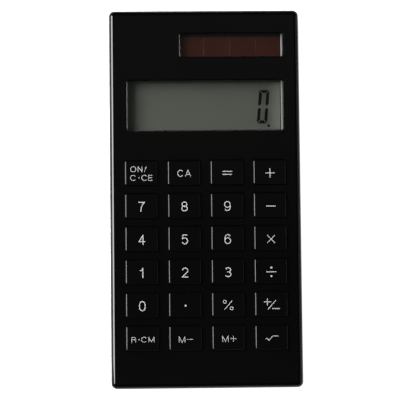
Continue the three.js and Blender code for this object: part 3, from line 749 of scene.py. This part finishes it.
def stroke_distance(px, py, points, half, closed):
    """Distance to the edge of a stroke. An open stroke's two ends are cut square."""
    nearest = np.full(px.shape, FAR)
    ahead = points[1:] + points[:1] if closed else points[1:]
    for i, (start, end) in enumerate(zip(points, ahead)):
        dx, dy = end[0] - start[0], end[1] - start[1]
        length = max(math.hypot(dx, dy), 1e-9)
        along = ((px - start[0]) * dx + (py - start[1]) * dy) / length
        across = np.abs((px - start[0]) * dy - (py - start[1]) * dx) / length
        distance = np.hypot(along - np.clip(along, 0, length), across) - half
        if not closed and i == 0:
            distance = np.where(along < 0, np.maximum(across - half, -along), distance)
        if not closed and i == len(ahead) - 1:
            distance = np.where(along > length, np.maximum(across - half, along - length), distance)
        nearest = np.minimum(nearest, distance)
    return nearest


def contour_loops(field, x0, y0):
    """Closed loops where field changes sign, with the crossings interpolated."""
    inside = field < 0
    count = inside[:-1, :-1].astype(int) + inside[1:, :-1] + inside[:-1, 1:] + inside[1:, 1:]
    links, places = {}, {}
    for r, c in zip(*np.where((count > 0) & (count < 4))):
        corners = [(r, c), (r, c + 1), (r + 1, c + 1), (r + 1, c)]
        within = [inside[corner] for corner in corners]
        cut = [i for i in range(4) if within[i] != within[(i + 1) % 4]]
        if len(cut) == 2:
            joined = [cut]
        elif (field[r : r + 2, c : c + 2].mean() < 0) != within[0]:
            joined = [cut[:2], cut[2:]]
        else:
            joined = [[cut[3], cut[0]], cut[1:3]]
        for pair in joined:
            ends = []
            for i in pair:
                low, high = sorted((corners[i], corners[(i + 1) % 4]))
                share = field[low] / (field[low] - field[high])
                row = low[0] + share * (high[0] - low[0])
                column = low[1] + share * (high[1] - low[1])
                places[low, high] = (x0 + FIELD_CELL * column, y0 + FIELD_CELL * row)
                ends.append((low, high))
            links.setdefault(ends[0], []).append(ends[1])
            links.setdefault(ends[1], []).append(ends[0])
    loops, used = [], set()
    for start in links:
        loop, ahead = [], [start]
        while ahead := [crossing for crossing in ahead if crossing not in used]:
            used.add(ahead[0])
            loop.append(places[ahead[0]])
            ahead = links[ahead[0]]
        if loop:
            loops.append(loop)
    return loops


def simplified(loop):
    """The loop without the points that lie within the tolerance of a straight run."""
    points = np.array(loop)
    farthest = int(np.argmax(np.linalg.norm(points - points[0], axis=1)))

    def keep(first, last):
        if last - first < 2:
            return [first]
        start = points[first]
        run = points[last % len(points)] - start
        between = points[first + 1 : last] - start
        offsets = np.abs(between[:, 0] * run[1] - between[:, 1] * run[0]) / max(np.linalg.norm(run), 1e-9)
        worst = int(np.argmax(offsets))
        if offsets[worst] <= OUTLINE_TOLERANCE:
            return [first]
        split = first + 1 + worst
        return keep(first, split) + keep(split, last)

    return [tuple(points[i]) for i in keep(0, farthest) + keep(farthest, len(points))]


def ink_solid(name, material, strokes, z0, z1):
    """Thin raised ink in the shape of the strokes."""
    reach = max(width for _, width, _ in strokes)
    every = np.array([point for points, _, _ in strokes for point in points])
    x0, y0 = every.min(axis=0) - reach
    x1, y1 = every.max(axis=0) + reach
    columns, rows = int((x1 - x0) / FIELD_CELL) + 2, int((y1 - y0) / FIELD_CELL) + 2
    px, py = np.meshgrid(x0 + FIELD_CELL * np.arange(columns), y0 + FIELD_CELL * np.arange(rows))
    field = np.full(px.shape, FAR)
    for points, width, closed in strokes:
        field = np.minimum(field, stroke_distance(px, py, list(points), width / 2, closed))
    field[np.abs(field) < 1e-6] = 1e-6
    return flat_plate(name, material, [simplified(loop) for loop in contour_loops(field, x0, y0)], z0, z1)


# ---------------------------------------------------------------- legends


def arc(x, y, radius_x, radius_y, start, end, steps=28, power=2.0):
    """Points along an ellipse, or a squarer one for a higher power, between two angles in degrees."""
    points = []
    for i in range(steps + 1):
        angle = math.radians(start + (end - start) * i / steps)
        c, s = math.cos(angle), math.sin(angle)
        across = math.copysign(abs(c) ** (2 / power), c)
        up = math.copysign(abs(s) ** (2 / power), s)
        points.append((x + radius_x * across, y + radius_y * up))
    return points


def oval(x, y, radius_x, radius_y, power=2.0, steps=56):
    return arc(x, y, radius_x, radius_y, 0, 360 - 360 / steps, steps - 1, power)


def moved(strokes, dx, dy):
    return [([(x + dx, y + dy) for x, y in points], width, closed) for points, width, closed in strokes]


def half_turned(strokes):
    return [([(-x, -y) for x, y in points], width, closed) for points, width, closed in strokes]


def dot(x, y, diameter):
    """A round dot: a tiny closed stroke as wide as the dot."""
    radius = 0.02
    return (oval(x, y, radius, radius, 2, 8), diameter - 2 * radius, True)


def glyph(mark, width, height, stroke):
    """Strokes of one mark, centred on the origin, inside width by height."""
    h = stroke / 2
    a, b = width / 2 - h, height / 2 - h

    def line(*points):
        return (list(points), stroke, False)

    def ring(*where):
        return (oval(*where), stroke, True)

    def upright(x):
        return line((x, -b - h), (x, b + h))

    def level(y, right=a + h):
        return line((-a - h, y), (right, y))

    stem_1, stem_4, waist = 0.30 * a, 0.44 * a, 0.04 * b
    six_back = arc(0.02 * a, 0, 1.02 * a, b, 38, 185, 26, 2.25)
    six = [ring(0, -0.36 * b, a, 0.64 * b, 2.1), line(*six_back)]
    two_top = arc(0, 0.42 * b, 0.97 * a, 0.58 * b, 168, -22, 24)
    three_top = arc(0, 0.51 * b, 0.90 * a, 0.49 * b, 160, -80, 26)
    three_bowl = arc(0, -0.47 * b, a, 0.53 * b, 80, -160, 28)
    five_bowl = arc(0, -0.33 * b, a, 0.67 * b, 138, -158, 30)
    seven_stem = [(a - 0.02, b), (0.35 * a, 0.42 * b), (-0.08 * a, -0.20 * b), (-0.30 * a, -b - h)]
    r_bowl = arc(0.15 * a, 0.52 * b, 0.80 * a, 0.48 * b, 90, -90, 18)
    shapes = {
        "0": [ring(0, 0, a, b, 2.35)],
        "O": [ring(0, 0, a, b, 2.1)],
        "1": [
            upright(stem_1),
            line((stem_1, 0.90 * b), (stem_1 - 0.45 * a, 0.58 * b), (stem_1 - 1.05 * a, 0.50 * b)),
        ],
        "2": [line(*two_top, (-0.05 * a, -0.38 * b), (0.1 * h - a, 0.2 * h - b)), level(-b)],
        "3": [line(*three_top), line(*three_bowl), line((-0.32 * a, waist), (0.2 * a, waist))],
        "4": [upright(stem_4), level(-0.42 * b), line((stem_4 - 0.02, b), (-a, -0.42 * b))],
        "5": [
            line(*five_bowl),
            line((-0.62 * a, b + h), (-0.80 * a, 0.02 * b)),
            line((-0.62 * a - 0.02, b), (0.88 * a, b)),
        ],
        "6": six,
        "7": [level(b), line(*seven_stem)],
        "8": [ring(0, 0.50 * b, 0.86 * a, 0.50 * b), ring(0, -0.46 * b, a, 0.54 * b)],
        "9": half_turned(six),
        "A": [
            line((-a - 0.2 * h, -b - h), (-0.02, b + 0.2 * h)),
            line((a + 0.2 * h, -b - h), (0.02, b + 0.2 * h)),
            line((0, b - h), (0, b + h)),
            line((-0.62 * a, -0.36 * b), (0.62 * a, -0.36 * b)),
        ],
        "C": [line(*arc(0, 0, a, b, 38, 322, 40, 2.1))],
        "E": [upright(-a), level(b), level(waist, 0.8 * a + h), level(-b)],
        "M": [
            upright(-a),
            upright(a),
            line((0.2 * h - a, b + 0.2 * h), (0, -b)),
            line((a - 0.2 * h, b + 0.2 * h), (0, -b)),
            line((0, -b - h), (0, -b + h)),
        ],
        "N": [upright(-a), upright(a), line((-a, b + 0.2 * h), (a, -b - 0.2 * h))],
        "R": [
            upright(-a),
            line((-a - h, b), *r_bowl, (-a, waist)),
            line((0.25 * a, waist), (0.88 * a, -0.35 * b), (0.95 * a, -b - h)),
        ],
        "/": [line((-a, -b - h), (a, b + h))],
        "-": [level(0)],
        "+": [level(0), upright(0)],
        "=": [level(b), level(-b)],
        "x": [line((-a, -b), (a, b)), line((-a, b), (a, -b))],
    }
    return shapes[mark]


def word(marks, centre_y, height, stroke):
    """Marks side by side: each is (mark, centre_x, width)."""
    strokes = []
    for mark, centre_x, width in marks:
        if mark == ".":
            strokes.append(dot(centre_x, centre_y, width))
        else:
            strokes += moved(glyph(mark, width, height, stroke), centre_x, centre_y)
    return strokes


DIGIT = (2.1, 3.18, 0.29)
DIGIT_AT = (0.06, -0.29)
SIGN_STROKE = 0.26
THIN_STROKE = 0.22
SMALL_STROKE = 0.17
INK_SUNK, INK_PROUD = 0.02, 0.015


def on_clear_words():
    upper = word([("O", -2.52, 1.85), ("N", -0.32, 1.50), ("/", 1.38, 0.85)], 1.20, 1.85, SMALL_STROKE)
    lower = [("C", -2.60, 1.88), (".", -0.66, 0.36), ("C", 1.05, 1.85), ("E", 3.00, 1.32)]
    return upper + word(lower, -1.60, 1.85, SMALL_STROKE)


def divide_sign():
    bar = glyph("-", 3.2, 0.5, SIGN_STROKE)
    return moved(bar + [dot(0, 1.37, 0.66), dot(0, -1.37, 0.66)], 0.16, -0.31)


def percent_sign():
    rings = [(oval(x, y, 0.47, 0.49), THIN_STROKE, True) for x, y in ((-1.13, 0.86), (1.06, -1.27))]
    return rings + [([(-1.25, -1.68), (1.28, 1.27)], THIN_STROKE, False)]


def plus_minus_sign():
    return [
        ([(-2.40, 0.71), (-0.12, 0.71)], SIGN_STROKE, False),
        ([(-1.26, -0.43), (-1.26, 1.85)], SIGN_STROKE, False),
        ([(-1.10, -1.70), (1.45, 1.18)], 0.24, False),
        ([(0.30, -1.50), (2.72, -1.50)], SIGN_STROKE, False),
    ]


def root_sign():
    points = [(-1.92, -0.54), (-1.50, -0.30), (-0.95, -1.06), (0.28, 0.36), (2.25, 0.36)]
    return [(points, THIN_STROKE, False)]


def recall_word():
    marks = [("R", -2.78, 1.50), (".", -1.07, 0.40), ("C", 0.55, 1.80), ("M", 2.90, 1.88)]
    return word(marks, -0.38, 1.75, SMALL_STROKE)


def memory_word(letter_at, letter_size, sign, sign_at):
    """The letter M with a sign, which is given as for a glyph."""
    return moved(glyph("M", *letter_size, SMALL_STROKE), *letter_at) + moved(glyph(*sign), *sign_at)


LEGENDS = {
    "on_clear": on_clear_words(),
    "clear_all": word([("C", -1.15, 1.95), ("A", 1.31, 1.90)], -0.22, 2.20, 0.21),
    "equals": moved(glyph("=", 3.15, 1.22, SIGN_STROKE), 0.20, -0.20),
    "plus": moved(glyph("+", 3.08, 3.02, SIGN_STROKE), 0.12, -0.33),
    "minus": moved(glyph("-", 3.10, 0.50, SIGN_STROKE), 0.26, -0.40),
    "times": moved(glyph("x", 2.70, 2.70, 0.23), 0.19, -0.38),
    "divide": divide_sign(),
    "point": [dot(0.12, -0.28, 0.68)],
    "percent": percent_sign(),
    "sign": plus_minus_sign(),
    "root": root_sign(),
    "memory_recall": recall_word(),
    "memory_minus": memory_word((-1.14, -0.47), (2.05, 2.02), ("-", 1.90, 0.40, 0.15), (1.42, -0.42)),
    "memory_plus": memory_word((-1.05, -0.36), (2.00, 2.00), ("+", 1.95, 1.95, SMALL_STROKE), (1.48, -0.34)),
}
LEGENDS |= {digit: moved(glyph(digit, *DIGIT), *DIGIT_AT) for digit in "0123456789"}

for key in KEYS:
    box = Box("key_" + key)
    strokes = moved(LEGENDS[key], *box.centre[:2])
    legend = ink_solid("legend_" + key, print_white, strokes, box.z1 - INK_SUNK, box.z1 + INK_PROUD)
    place(legend, "key_" + key, "key_plastic")

# ---------------------------------------------------------------- dome mat

MAT = Box("dome_mat")
MAT_SHEET_Z = MAT.z0 + 0.5
MAT_CORNER = 1.0
DOME_HOLE_RADIUS = 3.25
BOSS_HOLE_RADIUS = 1.7
DOME_SIDES = 40


def mat_sheet():
    """The mat's flat sheet, open under each dome and round each board boss."""
    outlines = [rounded_outline(MAT.centre, MAT.size, MAT_CORNER, steps=6)]
    outlines += [circle_outline(Box("key_" + key).centre, DOME_HOLE_RADIUS, DOME_SIDES) for key in KEYS]
    outlines += [circle_outline(Box(screw).centre, BOSS_HOLE_RADIUS, 32) for screw in BOARD_SCREWS]
    return flat_plate("mat_sheet", mat_grey, outlines, MAT.z0, MAT_SHEET_Z)


def dome(key):
    """One rubber dome: a hollow cone with a soft shoulder and a pill under its crown."""
    # (radius, share of the dome's height), from the pill's underside to the foot and then over the crown.
    inside = [(1.2, 0.37), (1.5, 0.40), (1.55, 0.65), (2.1, 0.65), (2.25, 0.55), (3.05, 0.05)]
    outside = [(3.6, 0), (3.45, 0.10), (2.75, 0.80), (2.55, 0.95), (2.35, 1), (1.9, 1)]
    profile = inside + [(DOME_HOLE_RADIUS, 0)] + outside
    levels = [(radius, MAT_SHEET_Z + share * (MAT.z1 - MAT_SHEET_Z)) for radius, share in profile]
    return spun("dome_" + key, mat_grey, Box("key_" + key).centre, levels, DOME_SIDES)


place(mat_sheet(), "casing", "mat_rubber", "dome_mat")
for key in KEYS:
    x, y = Box("key_" + key).centre[:2] * MM
    piece = place(dome(key), "casing", "mat_rubber")
    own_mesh(piece)

# ---------------------------------------------------------------- display

VIEW_AT, VIEW_SIZE = lens_pane("display_lens")
# The figure is printed on the polariser's underside.
FIGURE_Z = [Box("display_polariser").z0 - depth for depth in (0.018, 0.002)]
FIGURE_AT = VIEW_AT + (19.145, -0.32)
FIGURE_SIZE = (3.41, 11.0)
FIGURE_BAR = 1.02
FIGURE_SLANT = 0.085
POINT_AT = VIEW_AT + (20.88, -6.58)
POINT_HALF = 0.40
POINT_SLANT = 0.05
SEAL_SIZE = (0.18, 15.6)
SEAL_INSET = 0.70
# A dark strip along the top of the view: painted shade under the window's top edge.
SHADE_STRIP_LENGTH, SHADE_STRIP_INSET, SHADE_STRIP_OVERLAP = 1.0, 0.1, 0.1
THIN_CORNER = 0.02
LENS_SEAT, LENS_EDGE = 0.02, 0.3


def see_through(piece):
    """Light and soft light pass as if the piece weren't there: only the camera and reflections see it."""
    piece.visible_shadow = False
    piece.visible_diffuse = False
    return piece


def glass_cell():
    """The two display glasses bonded into one cell; the front one is longer, to carry the ribbon."""
    front, rear = Box("display_front_glass"), Box("display_rear_glass")
    edges = [(box.low[0], box.high[0], box.low[1], box.high[1]) for box in (front, rear)]
    cell = block(*edges[0], front.z0, front.z1, "glass_cell", display_glass)
    return combine(cell, [block(*edges[1], rear.z0, front.z0 + SINK)], "UNION")


def nought():
    """The six lit segments of a seven-segment nought: mitred, cut at the corners and slanted."""
    a, b = FIGURE_SIZE[0] / 2, FIGURE_SIZE[1] / 2
    bar, waist, corner, slit = FIGURE_BAR, 0.30, 0.45, 0.18
    side = [
        (a, waist + bar / 2),
        (a, b - corner),
        (a - 0.18, b - 0.28),
        (a - bar, b - bar - slit),
        (a - bar, waist + bar / 2),
        (a - bar / 2, waist),
    ]
    half = [(a - corner, b), (a - 0.34, b - 0.13), (a - bar - slit, b - bar)]
    across = half + [(-x, y) for x, y in half[::-1]]
    segments = [[(sx * x, sy * y) for x, y in side] for sx in (1, -1) for sy in (1, -1)]
    segments += [[(x, sy * y) for x, y in across] for sy in (1, -1)]
    at_x, at_y = FIGURE_AT
    return [[(at_x + x + FIGURE_SLANT * y, at_y + y) for x, y in segment] for segment in segments]


def decimal_point():
    at_x, at_y = POINT_AT
    corners = ((1, 0.9), (-0.8, 1), (-1, -0.9), (0.8, -1))
    return [(at_x + POINT_HALF * x + POINT_SLANT * y, at_y + POINT_HALF * y) for x, y in corners]


def lens(node, name):
    box = Box(node)
    at, pane = lens_pane(node)
    flange = rounded_outline(at, box.size, LENS_CORNER)
    flange_top = INSIDE_TOP_Z - LENS_SEAT
    sections = [(flange, box.z0), (flange, flange_top)]
    levels = [(0, flange_top)] + rounded_edge(LENS_EDGE, 6, box.z1)
    return lofted(name, lens_clear, sections + inset_sections(at, pane, LENS_CORNER, levels))


glass = see_through(glass_cell())
place(glass, "casing", "display_glass", "display_front_glass", "display_rear_glass")
see_through(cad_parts["display_polariser"])
seal_at = VIEW_AT + (VIEW_SIZE[0] / 2 - SEAL_INSET, 0)
# Painted shade: the dark strip deepens the shadow under the window's top edge.
shade_strip_at = VIEW_AT + (0, VIEW_SIZE[1] / 2 - SHADE_STRIP_INSET)
shade_strip_size = (VIEW_SIZE[0] + 2 * SHADE_STRIP_OVERLAP, SHADE_STRIP_LENGTH)
for piece in (
    flat_plate("display_nought", segment_ink, nought(), *FIGURE_Z),
    flat_plate("display_point", segment_ink, [decimal_point()], *FIGURE_Z),
    soft_plate("display_seal", segment_ink, seal_at, SEAL_SIZE, THIN_CORNER, *FIGURE_Z),
    soft_plate("display_painted_shade", border_ink, shade_strip_at, shade_strip_size, THIN_CORNER, *FIGURE_Z),
):
    place(piece, "casing", "display_film")
for node, name in (("display_lens", "display_window"), ("solar_lens", "solar_window")):
    place(see_through(lens(node, name)), "casing", "clear_acrylic", node)

# ---------------------------------------------------------------- solar panel

PANEL = Box("solar_panel")
CELLS_PITCH = 8.5
CELLS_GAP = 0.26
CELLS_DEPTH = 0.06
CELLS_CORNER = 0.05
# Distances in from the panel's edges, and from the window's right edge.
PANEL_MARGIN, CELLS_LEFT, CELLS_TOP, STRIP_TOP, STRIP_BOTTOM = 0.25, 0.5, 2.2, 0.075, 2.075
CELLS_RIGHT, DIVIDER_RIGHT = 0.45, 0.22
CONTACT_GAP, CONTACT_WIDTH, CONTACT_PROUD, FILM_SUNK = 0.07, 0.5, 0.01, 0.01
SUBSTRATE_TOP_Z = PANEL.z1 - CELLS_DEPTH
SUBSTRATE_CORNER = 0.25
FILM_EDGE = {"top": 0.03, "steps": 2, "corner_steps": 2}


def rectangle(x0, x1, y0, y1):
    """Centre and size of a rectangle between two pairs of edges."""
    return ((x0 + x1) / 2, (y0 + y1) / 2), (x1 - x0, y1 - y0)


def solar_films():
    """On the substrate: four cells from right to left, a dark strip of painted shade along the top, and a
    contact strip.
    """
    (x0, y0), (x1, y1) = PANEL.low[:2], PANEL.high[:2]
    film = (CELLS_CORNER, SUBSTRATE_TOP_Z - FILM_SUNK, PANEL.z1)
    view_at, view_size = lens_pane("solar_lens")
    view_right = view_at[0] + view_size[0] / 2
    cells_right, divider = view_right - CELLS_RIGHT, view_right - DIVIDER_RIGHT
    for number in (4, 3, 2, 1):
        passed = 4 - number
        right = divider - CELLS_PITCH * passed - CELLS_GAP / 2 if passed else cells_right
        left = divider - CELLS_PITCH * (passed + 1) + CELLS_GAP / 2 if number > 1 else x0 + CELLS_LEFT
        face = rectangle(left, right, y0 + PANEL_MARGIN, y1 - CELLS_TOP)
        yield soft_plate(f"solar_cell_{number}", cell_brown, *face, *film, **FILM_EDGE)
    # Painted shade: a dark strip along the panel's top darkens the band under the window's top edge.
    face = rectangle(x0 + PANEL_MARGIN, x1 - PANEL_MARGIN, y1 - STRIP_BOTTOM, y1 - STRIP_TOP)
    yield soft_plate("solar_painted_shade", panel_mask, *face, *film)
    left = cells_right + CONTACT_GAP
    face = rectangle(left, left + CONTACT_WIDTH, y0 + PANEL_MARGIN, y1 - PANEL_MARGIN)
    yield soft_plate("solar_contact", silver_ink, *face, *film[:2], PANEL.z1 + CONTACT_PROUD, **FILM_EDGE)


plate = (PANEL.centre, PANEL.size, SUBSTRATE_CORNER, PANEL.z0, SUBSTRATE_TOP_Z)
substrate = soft_plate("solar_substrate", cell_gap, *plate, top=CELLS_DEPTH, bottom=CELLS_DEPTH, steps=2)
place(substrate, "casing", "solar_cells", "solar_panel")
for piece in solar_films():
    place(piece, "casing", "solar_cells")

# ---------------------------------------------------------------- cell, screws, feet and label


def button_cell():
    edge, shoulder = CELL_RADIUS, CELL.z1 - 0.55
    can = [(0.35, 0), (0.12, 0.06), (0.02, 0.2), (0, 0.4)]
    profile = [(edge - inset, CELL.z0 + rise) for inset, rise in can]
    profile += [(edge, shoulder - 0.35), (edge - 0.06, shoulder - 0.12), (edge - 0.3, shoulder)]
    profile += [(4.75, shoulder), (4.68, shoulder + 0.05), (4.6, CELL.z1 - 0.15), (4.45, CELL.z1)]
    return spun("button_cell_can", nickel, CELL.centre, profile, 72, 50)


def case_screw(corner):
    """A self-tapping screw, head down, with a cross slot."""
    box = Box("case_screw_" + corner)
    head, shank, head_top = 1.95, 0.85, box.z0 + 1.18
    dome_levels = [(1.2, 0), (1.6, 0.03), (head - 0.06, 0.14), (head, 0.25)]
    profile = [(radius, box.z0 + rise) for radius, rise in dome_levels]
    profile += [(head, head_top), (shank, head_top), (shank, box.z1 - 0.9), (0.12, box.z1)]
    screw = spun("screw_" + corner, zinc, box.centre, profile, 48, 40)
    arm, half = 1.0, 0.24
    x, y = box.centre[:2]
    depth = (box.z0 - OVERSHOOT, box.z0 + 0.55)
    cross = block(x - arm, x + arm, y - half, y + half, *depth)
    combine(cross, [block(x - half, x + half, y - arm, y + arm, *depth)], "UNION")
    return combine(screw, [cross], "DIFFERENCE", 40)


def rubber_foot(corner):
    box = Box("foot_" + corner)
    radius, edge, steps = box.size[1] / 2, 0.3, 5
    profile = [(radius - edge - 0.05, box.z0)]
    for i in range(1, steps + 1):
        angle = math.pi / 2 * i / steps
        profile.append((radius - edge * (1 - math.sin(angle)), box.z0 + edge * (1 - math.cos(angle))))
    profile.append((radius, box.z1))
    return spun("foot_pad_" + corner, foot_black, box.centre, profile, 64, 40)


place(button_cell(), "casing", "cell_steel", "button_cell")
for corner in CORNERS:
    place(case_screw(corner), "casing", "screw_steel", "case_screw_" + corner)
    place(rubber_foot(corner), "casing", "foot_rubber", "foot_" + corner)

label_size = [side - 2 * LABEL_GAP for side in LABEL_POCKET]
label_levels = [REAR_Z + level for level in LABEL_LEVELS]
label = soft_plate("rear_label", label_grey, LABEL_AT, label_size, LABEL_CORNER, *label_levels)
place(label, "casing", "case_plastic")

# ---------------------------------------------------------------- CAD nodes that stay

KEPT = {
    "display_reflector": film_grey,
    "display_polariser": polariser_film,
    "display_frame": frame_grey,
    "display_ribbon": amber_film,
    "solar_tape": foam_black,
    "solar_lead_positive": wire_red,
    "solar_lead_negative": wire_black,
    "circuit_board": board_green,
    "chip_cover": epoxy,
    "capacitor": ceramic,
    "resistor": epoxy,
    "negative_contact": bronze,
    "positive_contact": bronze,
    **{screw: zinc for screw in BOARD_SCREWS},
}
BEVEL_MM = {"display_frame": 0.05, "capacitor": 0.12, "resistor": 0.06, "positive_contact": 0.03}
for node, material in KEPT.items():
    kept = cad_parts[node]
    kept.data.materials.clear()
    kept.data.materials.append(material)
    if node in BEVEL_MM:
        bevel = kept.modifiers.new("edges", "BEVEL")
        bevel.width = BEVEL_MM[node] * MM
        bevel.segments = 2
        bevel.limit_method = "ANGLE"
        bevel.angle_limit = math.radians(40)

# ---------------------------------------------------------------- studio, in metres

FLOOR_REACH = 6.0
FLOOR_Z = -5e-5
LIGHT_DISTANCE = 0.65

floor_mesh = bpy.data.meshes.new("floor")
sides = ((-1, -1), (1, -1), (1, 1), (-1, 1))
floor_mesh.from_pydata([(FLOOR_REACH * x, FLOOR_REACH * y, FLOOR_Z) for x, y in sides], [], [(0, 1, 2, 3)])
floor_mesh.materials.append(pale_floor("floor_white"))
floor = bpy.data.objects.new("floor", floor_mesh)
bpy.context.scene.collection.objects.link(floor)


def softbox(name, azimuth, elevation, width, height, radiance):
    """A rectangular light that faces the object. Azimuth 0 is +X and 90 is +Y."""
    data = bpy.data.lights.new(name, "AREA")
    data.shape = "RECTANGLE"
    data.size = width
    data.size_y = height
    data.energy = radiance * math.pi * width * height
    made = bpy.data.objects.new(name, data)
    a, e = math.radians(azimuth), math.radians(elevation)
    towards = Vector((math.cos(a) * math.cos(e), math.sin(a) * math.cos(e), math.sin(e)))
    made.location = towards * LIGHT_DISTANCE
    made.rotation_euler = towards.to_track_quat("Z", "Y").to_euler()
    made.visible_camera = False
    bpy.context.scene.collection.objects.link(made)
    return made


# The key light lights and shades; the narrower card beside it is what the polished edges mirror.
softbox("key_light", 158, 37, 0.60, 0.36, 13.5).visible_glossy = False
softbox("edge_card", 173, 37, 0.33, 0.36, 13.5).visible_diffuse = False
softbox("fill_card", -4, 28, 0.60, 0.24, 0.42)


def studio_sky():
    """White to the camera, an even grey to diffuse light, and dark bands to what the plastic mirrors."""
    sky = Nodes(bpy.data.worlds.new("studio"), "ShaderNodeOutputWorld")
    direction = sky.axes(sky.add("ShaderNodeTexCoord").outputs["Generated"])
    rays = sky.rays()

    def band(axis, *limits):
        return sky.ramp(direction[axis], *limits, curve="SMOOTHSTEP")

    panel = sky.math("ADD", band("Y", 0.03, 0.17, 0.036, 0.098), band("Y", -0.04, 0.03, 0.024, 0.0))
    overhead = sky.math("MULTIPLY", band("Z", 0.93, 0.98, 0.0, 1.0), panel)
    towards_viewer = band("Y", -0.75, 0.35, 0.45, 0.08)
    horizon = sky.math("MULTIPLY", band("Z", -0.05, 0.70, 1.0, 0.015), towards_viewer)
    mirrored = sky.math("ADD", overhead, horizon)
    strength = sky.between(rays["Is Glossy Ray"], 0.30, mirrored)
    strength = sky.between(rays["Is Camera Ray"], strength, 1.22)
    return sky.finish(sky.add("ShaderNodeBackground", {"Strength": strength}).outputs[0])


bpy.context.scene.world = studio_sky()

camera_data = bpy.data.cameras.new("camera")
camera_data.sensor_width = 36.0
camera_data.angle = math.radians(11.974)
camera = bpy.data.objects.new("camera", camera_data)
camera.location = (-0.0203, -0.04542, 0.62587)
camera.rotation_euler = Euler([math.radians(turn) for turn in (4.1659, -1.6736, -0.6035)], "XYZ")
bpy.context.scene.collection.objects.link(camera)
bpy.context.scene.camera = camera
bpy.context.scene.view_settings.view_transform = "Standard"
